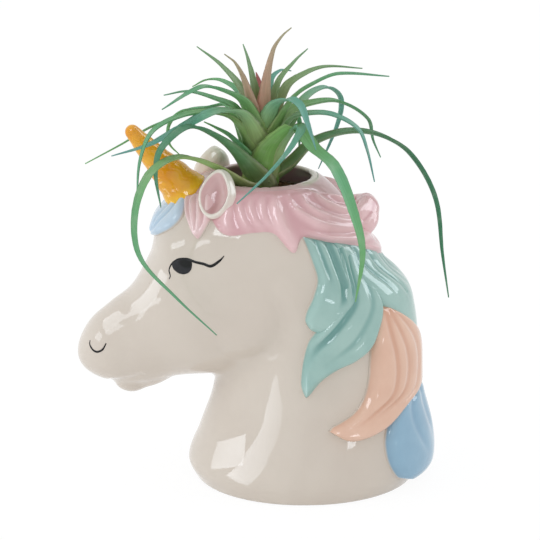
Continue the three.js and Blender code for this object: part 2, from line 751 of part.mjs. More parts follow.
// Leaf: a dished strap along its route, widest near the root and drawn out to a point.
function leafSolid([root, width, , route], margin) {
  const [firstX, firstY] = route[0];
  const heading = new THREE.Vector3(firstX, firstY, 0).normalize();
  const start = heading.clone().multiplyScalar(stemRadiusAt(root) + CLEARANCE);
  const onRoute = (p) => new THREE.Vector3(...p).multiplyScalar(LEAF_SPAN / 100);
  const points = [start.setZ(root), ...route.map(onRoute)];
  const path = new THREE.CatmullRomCurve3(points, false, "centripetal");
  const steps = 2 * points.length + 1;
  let side = UP.clone().cross(heading);
  const rings = [];
  for (let s = 0; s <= steps; s++) {
    const t = s / steps;
    const tangent = path.getTangent(t);
    side = side.addScaledVector(tangent, -side.dot(tangent)).normalize();
    const normal = tangent.clone().cross(side);
    const sheath = 1 + LEAF_SHEATH * Math.exp(-((t / 0.2) ** 2));
    const taper = (1 - 0.9 * t ** 3) * Math.min(1, 0.45 + 4 * t) * sheath;
    const halfWidth = (width / 2) * taper + margin;
    const lift = LEAF_DISH * halfWidth;
    const thick = LEAF_THICKNESS * (1 - 0.6 * t) + margin;
    const centre = path.getPoint(t).add(new THREE.Vector3(MOUTH_X, 0, RIM_HEIGHT));
    const section = [
      [-halfWidth, lift + margin],
      [0, margin],
      [halfWidth, lift + margin],
      [halfWidth, lift - thick / 2],
      [0, -thick],
      [-halfWidth, lift - thick / 2],
    ];
    rings.push(
      section.map(([a, b]) => centre.clone().addScaledVector(side, -a).addScaledVector(normal, b)),
    );
  }
  return solid(loft(rings));
}

// Each leaf is cut back to clear those set on the stem before it.
const leafBodies = [];
let leavesTaken = leafSolid(LEAVES[0], LEAF_GAP);
for (const leaf of LEAVES) {
  const whole = leafSolid(leaf, 0);
  const pieces = leafBodies.length > 0 ? whole.subtract(leavesTaken).decompose() : [whole];
  leafBodies.push(pieces.sort((a, b) => b.volume() - a.volume())[0]);
  leavesTaken = leavesTaken.add(leafSolid(leaf, LEAF_GAP));
}

const FINISHES = {
  white: { color: 0xddd6cd, roughness: 0.15 },
  pink: { color: 0xd9aab3, roughness: 0.15 },
  mint: { color: 0x96beb6, roughness: 0.15 },
  peach: { color: 0xe6b79f, roughness: 0.15 },
  blue: { color: 0x9ab6d8, roughness: 0.15 },
  gold: { color: 0xd7961e, roughness: 0.15 },
  foam: { color: 0x5c6b50, roughness: 0.95 },
  moss: { color: 0x5a4634, roughness: 0.95 },
  green: { color: 0x4b8250, roughness: 0.5 },
  dark: { color: 0x3a6a48, roughness: 0.5 },
  teal: { color: 0x509688, roughness: 0.5 },
  bright: { color: 0x6eaa64, roughness: 0.5 },
  olive: { color: 0x968264, roughness: 0.5 },
  blush: { color: 0xb4826e, roughness: 0.5 },
  red: { color: 0xa55055, roughness: 0.5 },
};

const planter = new THREE.Group();

function addPart(name, geometry, finish) {
  geometry.computeVertexNormals();
  const material = new THREE.MeshStandardMaterial({ ...FINISHES[finish], metalness: 0 });
  const mesh = new THREE.Mesh(geometry, material);
  mesh.name = name;
  planter.add(mesh);
}

function addPair(name, body, finish) {
  const left = geometryOf(body);
  addPart(`${name}_left`, left, finish);
  addPart(`${name}_right`, mirrored(left), finish);
}

addPart("head_shell", geometryOf(shell), "white");
addPart("horn", geometryOf(horn), "gold");
addPair("ear", ear, "white");
addPart("forelock_blue", geometryOf(blueForelock), "blue");
for (const [name, lock] of Object.entries(LOCKS)) addPair(name, locks[name], lock.colour);
addPart("rear_tuft", geometryOf(tuftFree), "pink");
addPart("foam_block", geometryOf(foam), "foam");
addPart("moss_pad", geometryOf(pad), "moss");
addPart("plant_stem", stem, "green");
LEAVES.forEach(([, , finish], i) =>
  addPart(`leaf_${String(i + 1).padStart(2, "0")}`, geometryOf(leafBodies[i]), finish),
);

export default planter;
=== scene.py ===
"""Looks of a glazed ceramic unicorn-head planter with an artificial strap-leaf plant.

Shapes are worked out in millimetres in the part's own frame: the nose points along -X, the
animal's left along -Y, and the foot stands on z = 0. Meshes are written in metres.
"""

from __future__ import annotations

import logging
import math
from dataclasses import dataclass, field, replace
from enum import Enum
from typing import Callable, Sequence

import bpy
import numpy as np
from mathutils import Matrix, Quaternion, Vector

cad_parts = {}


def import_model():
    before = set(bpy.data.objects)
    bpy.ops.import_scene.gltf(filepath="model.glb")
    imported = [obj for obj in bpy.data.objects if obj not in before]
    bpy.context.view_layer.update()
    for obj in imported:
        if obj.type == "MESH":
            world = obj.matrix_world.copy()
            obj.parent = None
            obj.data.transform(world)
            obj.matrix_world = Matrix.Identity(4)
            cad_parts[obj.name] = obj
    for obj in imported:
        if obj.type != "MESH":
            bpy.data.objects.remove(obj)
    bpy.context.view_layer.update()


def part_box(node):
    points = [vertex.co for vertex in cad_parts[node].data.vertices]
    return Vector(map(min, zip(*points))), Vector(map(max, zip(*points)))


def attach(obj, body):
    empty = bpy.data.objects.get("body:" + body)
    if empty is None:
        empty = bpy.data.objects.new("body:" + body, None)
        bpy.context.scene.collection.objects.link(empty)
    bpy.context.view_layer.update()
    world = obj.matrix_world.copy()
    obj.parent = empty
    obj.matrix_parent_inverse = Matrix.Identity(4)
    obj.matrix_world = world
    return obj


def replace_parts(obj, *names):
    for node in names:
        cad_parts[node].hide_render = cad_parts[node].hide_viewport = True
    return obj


Array = np.ndarray
Colour = tuple[float, float, float]
Field = Callable[[np.ndarray], np.ndarray]
Material = bpy.types.Material
Socket = bpy.types.NodeSocket
MM = 0.001
UP = np.array([0.0, 0.0, 1.0])
LOG = logging.getLogger("planter")


def frame_box(node: str) -> Array:
    """Low and high corner of a solid of the frame, in millimetres."""
    return np.array([list(corner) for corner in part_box(node)]) / MM


def unit(vectors: Array) -> Array:
    """Vectors scaled to length one along the last axis."""
    length = np.linalg.norm(vectors, axis=-1, keepdims=True)
    return vectors / np.maximum(length, 1e-12)


def smoothstep(low: float, high: float, x: Array) -> Array:
    """Ramp from 0 at low to 1 at high with level ends: 3t^2 - 2t^3."""
    t = np.clip((x - low) / (high - low), 0.0, 1.0)
    return t * t * (3.0 - 2.0 * t)


def smooth_max(a: Array, b: Array, blend: float) -> Array:
    """Larger of two fields, with a parabola of width blend where they cross."""
    share = np.clip(0.5 + 0.5 * (a - b) / blend, 0.0, 1.0)
    return b + (a - b) * share + blend * share * (1.0 - share)


def smooth_min(a: Array, b: Array, blend: float) -> Array:
    """Smaller of two fields, with a parabola of width blend where they cross."""
    return -smooth_max(-a, -b, blend)


def hermite(knots: Array, values: Array, places: Array) -> Array:
    """Cubic through rows of values: each slope joins the neighbours on both sides.

    Args:
        knots: rising places of the rows, shape (k,).
        values: rows to pass through, shape (k,) or (k, d).
        places: where to read the curve, any shape.

    Returns:
        Values at the places, with the columns of the rows last.
    """
    rows = values if values.ndim == 2 else values[:, None]
    slope = np.empty_like(rows)
    slope[1:-1] = (rows[2:] - rows[:-2]) / (knots[2:] - knots[:-2])[:, None]
    slope[0] = (rows[1] - rows[0]) / (knots[1] - knots[0])
    slope[-1] = (rows[-1] - rows[-2]) / (knots[-1] - knots[-2])
    i = np.clip(np.searchsorted(knots, places) - 1, 0, len(knots) - 2)
    step = knots[i + 1] - knots[i]
    t = np.clip((places - knots[i]) / step, 0.0, 1.0)[..., None]
    step = step[..., None]
    ease = t * t * (3.0 - 2.0 * t)
    bend = t * (1.0 - t) ** 2 * step * slope[i] + t * t * (t - 1.0) * step * slope[i + 1]
    out = rows[i] * (1.0 - ease) + rows[i + 1] * ease + bend
    return out if values.ndim == 2 else out[..., 0]


def evenly(rows: Sequence, places: Array) -> Array:
    """Smooth curve through rows that are evenly spaced from 0 to 1."""
    return hermite(np.linspace(0.0, 1.0, len(rows)), np.array(rows, float), places)


def lengths_along(path: Array) -> Array:
    """Length of a path from its start to each of its points."""
    return np.r_[0.0, np.cumsum(np.linalg.norm(np.diff(path, axis=0), axis=-1))]


def curve(points: Sequence[Sequence[float]], places: Array) -> Array:
    """Smooth curve through points, read at shares of its chord length.

    Args:
        points: points to pass through.
        places: shares of the length, from 0 to 1.

    Returns:
        The curve at the places.
    """
    rows = np.asarray(points, float)
    chord = lengths_along(rows)
    return hermite(chord / chord[-1], rows, places)


def turned(x: Array, z: Array, middle: tuple, degrees: float) -> tuple[Array, Array]:
    """Places of the side view, measured from a middle along axes that are tilted by degrees.

    Args:
        x: places along the head.
        z: heights.
        middle: start of the axes.
        degrees: tilt of the first axis, rising towards the nape.

    Returns:
        Distances along the first and the second axis.
    """
    c, s = math.cos(math.radians(degrees)), math.sin(math.radians(degrees))
    dx, dz = x - middle[0], z - middle[1]
    return c * dx + s * dz, c * dz - s * dx


def circle(count: int) -> Array:
    """Angles evenly spaced round a full turn."""
    return np.linspace(0.0, 2.0 * math.pi, count, endpoint=False)


def upright(middle: float, radius: Array, turn: Array, z: Array) -> Array:
    """Level rings about an upright axis at X = middle, from radius, angles and heights."""
    x = middle + radius * np.cos(turn)
    return np.stack([x, radius * np.sin(turn), np.broadcast_to(z[:, None], x.shape)], axis=-1)


def there_and_back(upper: Array, lower: Array) -> Array:
    """Rings that run across the upper rows and back across the lower ones."""
    return np.concatenate([upper, lower[:, ::-1]], axis=1)


def onto_left(points: Array) -> Array:
    """Points of either side brought over to the animal's left."""
    return points * [1.0, 0.0, 1.0] - np.abs(points) * [0.0, 1.0, 0.0]


def ripple(points: Array, pitch: float, seed: int, waves: int = 7, gain: float = 1.8) -> Array:
    """Soft lumps between about -1 and 1: a mean of plane waves in fixed random directions.

    Args:
        points: where to read it.
        pitch: length of a middling wave.
        seed: seed of the directions.
        waves: number of waves.
        gain: factor on the mean.

    Returns:
        Height of the lumps at the points.
    """
    rng = np.random.default_rng(seed)
    numbers = unit(rng.normal(size=(waves, 3))) * (2.0 * math.pi / pitch)
    numbers *= rng.uniform(0.6, 1.5, size=(waves, 1))
    phases = rng.uniform(0.0, 6.28, waves)
    return np.sin(points @ numbers.T + phases).mean(axis=-1) * gain


def put(name: str, data: bpy.types.ID) -> bpy.types.Object:
    """New object in the scene.

    Args:
        name: its name.
        data: its mesh, lamp or camera.

    Returns:
        The object.
    """
    thing = bpy.data.objects.new(name, data)
    bpy.context.scene.collection.objects.link(thing)
    return thing


@dataclass
class Shape:
    """A mesh as arrays: points in millimetres, corner numbers, face starts and point values."""

    points: Array
    corners: Array
    starts: Array
    values: dict[str, Array] = field(default_factory=dict)
    uv: Array | None = None
    normals: Array | None = None

    @staticmethod
    def grid_faces(rows: int, columns: int, closed: bool) -> Array:
        """Quads of a grid of points numbered row by row.

        Args:
            rows: number of rows.
            columns: points in each row.
            closed: whether each row joins its own start.

        Returns:
            Corner numbers, shape (faces, 4).
        """
        across = columns if closed else columns - 1
        r, c = np.meshgrid(np.arange(rows - 1), np.arange(across), indexing="ij")
        a = r * columns + c
        b = r * columns + (c + 1) % columns
        return np.stack([a, b, b + columns, a + columns], axis=-1).reshape(-1, 4)

    @classmethod
    def loft(cls, rings: Array, values: dict[str, Array] | None = None, uv: Array | None = None) -> Shape:
        """Closed skin through rings, each end closed by a fan round the middle of its ring.

        Args:
            rings: points, shape (rings, points, 3), turning so that faces point outwards.
            values: point values, shape (rings, points).
            uv: places on the surface, shape (rings, points, 2).

        Returns:
            The closed shape.
        """
        rows, columns = rings.shape[:2]
        quads = cls.grid_faces(rows, columns, True)
        around = np.arange(columns)
        after = (around + 1) % columns
        first = rows * columns
        last = (rows - 1) * columns
        fan = np.concatenate(
            [
                np.stack([np.full(columns, first), after, around], axis=-1),
                np.stack([np.full(columns, first + 1), last + around, last + after], axis=-1),
            ]
        )
        ends = np.stack([rings[0].mean(axis=0), rings[-1].mean(axis=0)])
        points = np.concatenate([rings.reshape(-1, 3), ends])
        corners = np.concatenate([quads.ravel(), fan.ravel()])
        sizes = np.r_[np.full(len(quads), 4), np.full(len(fan), 3)]
        starts = np.r_[0, np.cumsum(sizes)[:-1]]

        def with_ends(array: Array) -> Array:
            """Rows of the rings, then the means of the two end rings."""
            flat = array.reshape((rows * columns,) + array.shape[2:])
            return np.concatenate([flat, array[0].mean(0)[None], array[-1].mean(0)[None]])

        kept = {name: with_ends(array) for name, array in (values or {}).items()}
        return cls(points, corners, starts, kept, None if uv is None else with_ends(uv))

    @classmethod
    def join(cls, shapes: Sequence[Shape]) -> Shape:
        """Several shapes as one mesh, with the point values that all of them have.

        Args:
            shapes: the shapes.

        Returns:
            The joined shape.
        """
        shift = np.r_[0, np.cumsum([len(s.points) for s in shapes])[:-1]]
        begin = np.r_[0, np.cumsum([len(s.corners) for s in shapes])[:-1]]
        names = set.intersection(*[set(s.values) for s in shapes])
        uv = None
        if all(s.uv is not None for s in shapes):
            uv = np.concatenate([s.uv for s in shapes])
        return cls(
            np.concatenate([s.points for s in shapes]),
            np.concatenate([s.corners + k for s, k in zip(shapes, shift)]),
            np.concatenate([s.starts + k for s, k in zip(shapes, begin)]),
            {name: np.concatenate([s.values[name] for s in shapes]) for name in names},
            uv,
        )

    def turned_out(self) -> Shape:
        """The same closed shape with its faces pointing outwards, told by the sign of its volume.

        Returns:
            This shape, or a flipped one.
        """
        sizes = np.diff(np.r_[self.starts, len(self.corners)])
        places = (self.corners[self.starts + shift] for shift in (0, 1, 2, sizes - 1))
        first, second, third, fourth = (self.points[place] for place in places)
        volume = np.einsum("ij,ij->i", first, np.cross(second, third))
        volume += np.where(sizes == 4, np.einsum("ij,ij->i", first, np.cross(third, fourth)), 0.0)
        return self if volume.sum() > 0 else self.flipped()

    def flipped(self) -> Shape:
        """The same shape with every face turned over.

        Returns:
            The flipped shape.
        """
        sizes = np.diff(np.r_[self.starts, len(self.corners)])
        face = np.repeat(np.arange(len(sizes)), sizes)
        place = np.arange(len(self.corners)) - self.starts[face]
        corners = self.corners[self.starts[face] + (sizes[face] - 1 - place)]
        normals = None if self.normals is None else -self.normals
        return Shape(self.points, corners, self.starts, self.values, self.uv, normals)

    def mirrored(self) -> Shape:
        """The shape on the animal's other side, faces still outwards."""
        other = Shape(self.points * [1, -1, 1], self.corners, self.starts, self.values, self.uv)
        return other.flipped()

    def sides(self) -> tuple:
        """The shape and its mirrored twin, each after the name of its side."""
        return ("left", self), ("right", self.mirrored())

    def build(self, name: str, body: str, finish: Material, slot: str = "") -> bpy.types.Object:
        """Writes the mesh and sets the piece on its body.

        Args:
            name: name of the piece.
            body: body that it rides on.
            finish: its material.
            slot: slot of the record; not used.

        Returns:
            The new object.
        """
        mesh = bpy.data.meshes.new(name)
        mesh.vertices.add(len(self.points))
        mesh.vertices.foreach_set("co", (self.points * MM).astype(np.float32).ravel())
        mesh.loops.add(len(self.corners))
        mesh.loops.foreach_set("vertex_index", self.corners.astype(np.int32))
        mesh.polygons.add(len(self.starts))
        mesh.polygons.foreach_set("loop_start", self.starts.astype(np.int32))
        mesh.polygons.foreach_set("use_smooth", np.ones(len(self.starts), bool))
        mesh.update(calc_edges=True)
        for key, array in self.values.items():
            layer = mesh.attributes.new(key, "FLOAT", "POINT")
            layer.data.foreach_set("value", array.astype(np.float32))
        if self.uv is not None:
            layer = mesh.uv_layers.new(name="surface")
            layer.data.foreach_set("uv", self.uv[self.corners].astype(np.float32).ravel())
        if self.normals is not None:
            mesh.normals_split_custom_set_from_vertices(self.normals.tolist())
        mesh.materials.append(finish)
        piece = put(name, mesh)
        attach(piece, body)
        LOG.info("%s: %d points on %s", name, len(self.points), body)
        return piece


class Nodes:
    """Short way to lay out the nodes of one material.

    Mix nodes take their share and colours, and give their colour, at the numbered sockets named here.
    """

    mix_inputs = (0, 6, 7)
    mix_output = 2

    def __init__(self, name: str) -> None:
        """Starts a material with one shader.

        Args:
            name: name of the material.
        """
        self.material = bpy.data.materials.new(name)
        self.material.use_nodes = True
        self.tree = self.material.node_tree
        self.shader = self.tree.nodes["Principled BSDF"]

    def feed(self, given: Socket | Colour | float, target: Socket) -> None:
        """Joins an input to another socket, or sets it to a colour or a number.

        Args:
            given: socket, colour or number.
            target: the input.
        """
        if isinstance(given, Socket):
            self.tree.links.new(given, target)
        else:
            target.default_value = (*given, 1.0) if isinstance(given, tuple) else given

    def add(self, kind: str, **settings: object) -> bpy.types.Node:
        """New node.

        Args:
            kind: kind of node.
            settings: its properties, and what its inputs are fed.

        Returns:
            The node.
        """
        node = self.tree.nodes.new(kind)
        for key, value in settings.items():
            if hasattr(node, key):
                setattr(node, key, value)
            else:
                self.feed(value, node.inputs[key.replace("_", " ")])
        return node

    def value(self, name: str) -> Socket:
        """A point value of the mesh as a number."""
        return self.add("ShaderNodeAttribute", attribute_name=name).outputs["Fac"]

    def place(self) -> Socket:
        """Object coordinates."""
        return self.add("ShaderNodeTexCoord").outputs["Object"]

    def noise(self, scale: float, detail: float, rough: float = 0.5, at: Socket | None = None) -> Socket:
        """Cloudy noise at so many waves to the metre, or to the unit of the places it is read at."""
        settings = {"Scale": scale, "Detail": detail, "Roughness": rough, "Vector": at or self.place()}
        return self.add("ShaderNodeTexNoise", **settings).outputs["Fac"]

    def combine(self, operation: str, *given: Socket | float) -> Socket:
        """Number worked out from others.

        Args:
            operation: what the node does.
            given: sockets or numbers, in the node's order.

        Returns:
            The result.
        """
        node = self.add("ShaderNodeMath", operation=operation)
        for value, target in zip(given, node.inputs):
            self.feed(value, target)
        return node.outputs[0]

    def mix(
        self, share: Socket | float, low: Socket | Colour, high: Socket | Colour, blend: str = "MIX"
    ) -> Socket:
        """Colour between low and high by a share.

        Args:
            share: share of high.
            low: colour at a share of 0.
            high: colour at a share of 1.
            blend: how high is laid over low.

        Returns:
            The colour.
        """
        node = self.add("ShaderNodeMix", data_type="RGBA", blend_type=blend)
        for number, given in zip(self.mix_inputs, (share, low, high)):
            self.feed(given, node.inputs[number])
        return node.outputs[self.mix_output]

    def ramp(self, source: Socket, low: float, high: float) -> Socket:
        """Number carried from the span low to high onto 0 to 1, held at the ends."""
        settings = {"Value": source, "From_Min": low, "From_Max": high}
        return self.add("ShaderNodeMapRange", interpolation_type="SMOOTHSTEP", **settings).outputs["Result"]

    def stops(self, source: Socket, stops: Sequence[tuple[float, Colour]]) -> Socket:
        """Colour along a number, through the given stops.

        Args:
            source: the number.
            stops: places and colours.

        Returns:
            The colour.
        """
        node = self.add("ShaderNodeValToRGB", Fac=source)
        band = node.color_ramp.elements
        while len(band) < len(stops):
            band.new(0.5)
        for element, (position, colour) in zip(band, stops):
            element.position = position
            element.color = (*colour, 1.0)
        return node.outputs["Color"]

    def bump(self, height: Socket, strength: float, distance: float) -> None:
        """Relief of the finish from a height."""
        node = self.add("ShaderNodeBump", Strength=strength, Distance=distance, Height=height)
        self.feed(node.outputs["Normal"], self.shader.inputs["Normal"])

    def paint(self, colour: Socket, roughness: float, **inputs: float) -> Material:
        """Joins the colour to the shader and sets its other inputs.

        Args:
            colour: colour of the surface.
            roughness: its roughness.
            inputs: other inputs of the shader.

        Returns:
            The material.
        """
        for key, given in {"Base_Color": colour, "Roughness": roughness, **inputs}.items():
            self.feed(given, self.shader.inputs[key.replace("_", " ")])
        return self.material


def srgb(red: int, green: int, blue: int) -> Colour:
    """Linear colour of a screen colour in 0 to 255, by the sRGB curve."""
    c = np.array([red, green, blue]) / 255.0
    return tuple(np.where(c <= 0.04045, c / 12.92, ((c + 0.055) / 1.055) ** 2.4).tolist())


GLAZE_ROUGHNESS = 0.05
GLAZE_INDEX = 1.5
CLOUDY = (0.3, 0.7)
WHITE_GLAZE = srgb(221, 211, 199)
WHITE_POOL = srgb(216, 205, 193)
ROSE_GLAZE = srgb(210, 176, 178)


@dataclass(frozen=True)
class WhiteGlaze:
    """Warm white glossy glaze with a few iron specks, tinted rose where point value blush is 1."""

    name: str = "white_glaze"
    speck: Colour = srgb(120, 104, 88)
    cloud_scale: float = 22.0
    speck_scale: float = 45.0
    speck_edge: tuple = (0.022, 0.012)
    wave: tuple = (0.04, 0.0008)

    def make(self) -> Material:
        """Clouds of two whites, specks at the middles of cells, then the rose tint.

        Returns:
            The material.
        """
        n = Nodes(self.name)
        base = n.mix(n.ramp(n.noise(self.cloud_scale, 4.0), *CLOUDY), WHITE_GLAZE, WHITE_POOL)
        cells = n.add("ShaderNodeTexVoronoi", Scale=self.speck_scale, Vector=n.place())
        speckled = n.mix(n.ramp(cells.outputs["Distance"], *self.speck_edge), base, self.speck)
        tinted = n.mix(n.ramp(n.value("blush"), 0.0, 1.0), speckled, ROSE_GLAZE)
        n.bump(n.noise(self.speck_scale, 2.0), *self.wave)
        return n.paint(tinted, GLAZE_ROUGHNESS, IOR=GLAZE_INDEX)


@dataclass(frozen=True)
class TintedGlaze:
    """Coloured gloss glaze: pale on ridges, deep in grooves, thinning out to white at its border.

    Point value fade is 0 at the border and 1 inside, relief is 0 in grooves and 1 on ridges. The deep
    colour in the grooves is pooled glaze with painted shade, and the pale colour on the ridges is
    thinner glaze with a painted highlight.
    """

    name: str
    pale: Colour
    deep: Colour
    border: Colour = WHITE_POOL
    full_relief: float = 0.9
    full_fade: float = 0.8
    cloud_scale: float = 60.0
    cloud_span: tuple = (0.3, 0.75)
    cloud_share: float = 0.55
    cloud_pale: float = 0.4
    wave_scale: float = 110.0
    wave: tuple = (0.05, 0.0006)

    def make(self) -> Material:
        """Deep to pale by the relief, painted shade in grooves and a painted highlight on ridges, clouded
        towards a middle tint, white at the border.

        Returns:
            The material.
        """
        n = Nodes(self.name)
        # painted shade and highlight: the colour runs from deep in grooves to pale on ridges
        tint = n.mix(n.ramp(n.value("relief"), 0.0, self.full_relief), self.deep, self.pale)
        cloud = n.ramp(n.noise(self.cloud_scale, 4.0), *self.cloud_span)
        pairs = zip(self.deep, self.pale)
        middle = tuple((1.0 - self.cloud_pale) * deep + self.cloud_pale * pale for deep, pale in pairs)
        brushed = n.mix(cloud, tint, n.mix(self.cloud_share, tint, middle))
        glazed = n.mix(n.ramp(n.value("fade"), 0.0, self.full_fade), self.border, brushed)
        n.bump(n.noise(self.wave_scale, 2.0), *self.wave)
        return n.paint(glazed, GLAZE_ROUGHNESS, IOR=GLAZE_INDEX)


@dataclass(frozen=True)
class HornGlaze:
    """Amber gloss glaze: mottled gold and orange, pale yellow where it meets the brow."""

    name: str = "amber_glaze"
    gold: Colour = srgb(246, 184, 48)
    orange: Colour = srgb(234, 154, 26)
    pale: Colour = srgb(255, 198, 50)
    mottle_scale: float = 90.0
    foot: float = 0.15

    def make(self) -> Material:
        """Mottle of two ambers, paling over the foot of the horn.

        Returns:
            The material.
        """
        n = Nodes(self.name)
        mottle = n.ramp(n.noise(self.mottle_scale, 4.0, 0.55), *CLOUDY)
        amber = n.mix(mottle, self.orange, self.gold)
        foot = n.ramp(n.value("along"), self.foot, 0.0)
        return n.paint(n.mix(foot, amber, self.pale), GLAZE_ROUGHNESS, IOR=GLAZE_INDEX)


@dataclass(frozen=True)
class EyePaint:
    """Black gloss paint of the eye, softer than the pupil in it."""

    name: str = "eye_paint"
    iris: Colour = srgb(40, 40, 45)
    pupil: Colour = srgb(8, 8, 10)
    brush: Colour = srgb(32, 32, 36)
    brush_scale: float = 700.0
    roughness: float = 0.32
    index: float = 1.35

    def make(self) -> Material:
        """Brushed iris colour, darker where point value pupil is high.

        Returns:
            The material.
        """
        n = Nodes(self.name)
        dark = n.ramp(n.value("pupil"), 0.35, 0.65)
        brushed = n.mix(n.ramp(n.noise(self.brush_scale, 3.0), 0.2, 0.8), self.iris, self.brush)
        return n.paint(n.mix(dark, brushed, self.pupil), self.roughness, IOR=self.index)


@dataclass(frozen=True)
class LeafFinish:
    """Soft moulded plastic of a leaf: root, body, strap and tip colours along it, streaked lengthwise."""

    name: str
    root: Colour
    body: Colour
    strap: Colour
    tip: Colour
    rust: Colour = srgb(190, 136, 104)
    rust_share: float = 0.3
    dust: Colour = srgb(190, 205, 180)
    dust_share: float = 0.22
    dust_scale: float = 160.0
    body_at: float = 0.22
    strap_at: float = 0.55
    streaks: Colour = (5.0, 14.0, 1.0)
    shade: Colour = (0.88, 0.88, 0.88)
    light: Colour = (1.14, 1.14, 1.14)
    grain: tuple = (0.25, 0.0004)
    roughness: float = 0.48
    specular: float = 0.35

    @staticmethod
    def edge(n: Nodes, parts: bpy.types.Node) -> Socket:
        """Share of rust: full at the two edges, none past the sheath.

        Args:
            n: nodes of the material.
            parts: node that splits the place into along and across.

        Returns:
            The share.
        """
        away = n.combine("ABSOLUTE", n.combine("SUBTRACT", parts.outputs["Y"], 0.5))
        return n.combine("MULTIPLY", n.ramp(away, 0.3, 0.62), n.ramp(parts.outputs["X"], 0.5, 0.1))

    def make(self) -> Material:
        """Colours along the leaf, rust at its edges, lengthwise streaks, then a dusty bloom.

        Returns:
            The material.
        """
        n = Nodes(self.name)
        place = n.add("ShaderNodeUVMap", uv_map="surface").outputs["UV"]
        parts = n.add("ShaderNodeSeparateXYZ", Vector=place)
        colours = (self.root, self.body, self.strap, self.tip)
        along = n.stops(parts.outputs["X"], list(zip((0.0, self.body_at, self.strap_at, 1.0), colours)))
        stretch = n.add("ShaderNodeMapping", Vector=place)
        stretch.inputs["Scale"].default_value = self.streaks
        streak = n.noise(1.0, 4.0, 0.6, stretch.outputs["Vector"])
        rusty = n.mix(self.edge(n, parts), along, n.mix(self.rust_share, along, self.rust))
        lit = n.mix(n.ramp(streak, *CLOUDY), self.shade, self.light)
        streaked = n.mix(1.0, rusty, lit, "MULTIPLY")
        bloom = n.ramp(n.noise(self.dust_scale, 4.0), 0.45, 0.8)
        dusty = n.mix(bloom, streaked, n.mix(self.dust_share, streaked, self.dust))
        n.bump(streak, *self.grain)
        return n.paint(dusty, self.roughness, Specular_IOR_Level=self.specular)


@dataclass(frozen=True)
class FibreFinish:
    """Brown coir fibre or crumbly foam: clouded colour and a rough grain."""

    name: str
    dark: Colour
    light: Colour
    grain: float
    relief: tuple = (0.6, 0.0012)
    roughness: float = 0.95
    specular: float = 0.1

    def make(self) -> Material:
        """Dark to light by the grain, which is also its relief.

        Returns:
            The material.
        """
        n = Nodes(self.name)
        grain = n.noise(self.grain, 6.0, 0.7)
        n.bump(grain, *self.relief)
        colour = n.mix(n.ramp(grain, *CLOUDY), self.dark, self.light)
        return n.paint(colour, self.roughness, Specular_IOR_Level=self.specular)


def leaf_finish(tone: str, *colours: tuple) -> LeafFinish:
    """Finish of a tone from its screen colours at the root, body, strap and tip."""
    return LeafFinish(f"leaf_{tone}", *(srgb(*colour) for colour in colours))


class Tone(Enum):
    """Colour family of a leaf."""

    GREEN = leaf_finish("green", (152, 158, 98), (142, 178, 108), (104, 166, 114), (98, 162, 126))
    DARK = leaf_finish("dark", (126, 138, 82), (94, 142, 94), (70, 130, 96), (78, 140, 104))
    TEAL = leaf_finish("teal", (160, 160, 106), (148, 180, 118), (104, 168, 142), (98, 160, 152))
    BRIGHT = leaf_finish("bright", (122, 156, 76), (122, 176, 94), (106, 174, 126), (118, 180, 112))
    OLIVE = leaf_finish("olive", (190, 132, 106), (166, 160, 110), (128, 160, 108), (114, 160, 114))
    BLUSH = leaf_finish("blush", (212, 118, 104), (202, 150, 128), (194, 160, 138), (164, 162, 128))
    RED = leaf_finish("red", (180, 94, 88), (190, 98, 98), (190, 108, 108), (178, 102, 98))

    @property
    def slot(self) -> str:
        """Slot of the record with the same name."""
        return self.value.name


@dataclass(frozen=True)
class Furrow:
    """Soft groove pressed along a line (x, z) of the side view: depth and half width in mm."""

    line: tuple
    deep: float
    wide: float
    steps: int = 40

    def press(self, points: Array) -> Array:
        """Depth of the groove: a bell across the nearest point of its line.

        Args:
            points: where to read it.

        Returns:
            Depth at each point.
        """
        track = curve(self.line, np.linspace(0.0, 1.0, self.steps))
        flat = points[..., [0, 2]]
        nearest = np.min(np.sum((flat[..., None, :] - track) ** 2, axis=-1), axis=-1)
        return self.deep * np.exp(-nearest / self.wide**2)


@dataclass(frozen=True)
class Bulge:
    """Small swelling of the side view: middle (x, z), reach and tilt, and its squared half breadth."""

    middle: tuple
    reach: tuple
    square: float
    tilt: float = 0.0

    def breadth(self, x: Array, z: Array) -> Array:
        """Squared half breadth, an ellipse over the tilted axes that is negative outside."""
        along, across = turned(x, z, self.middle, self.tilt)
        return self.square * (1.0 - (along / self.reach[0]) ** 2 - (across / self.reach[1]) ** 2)


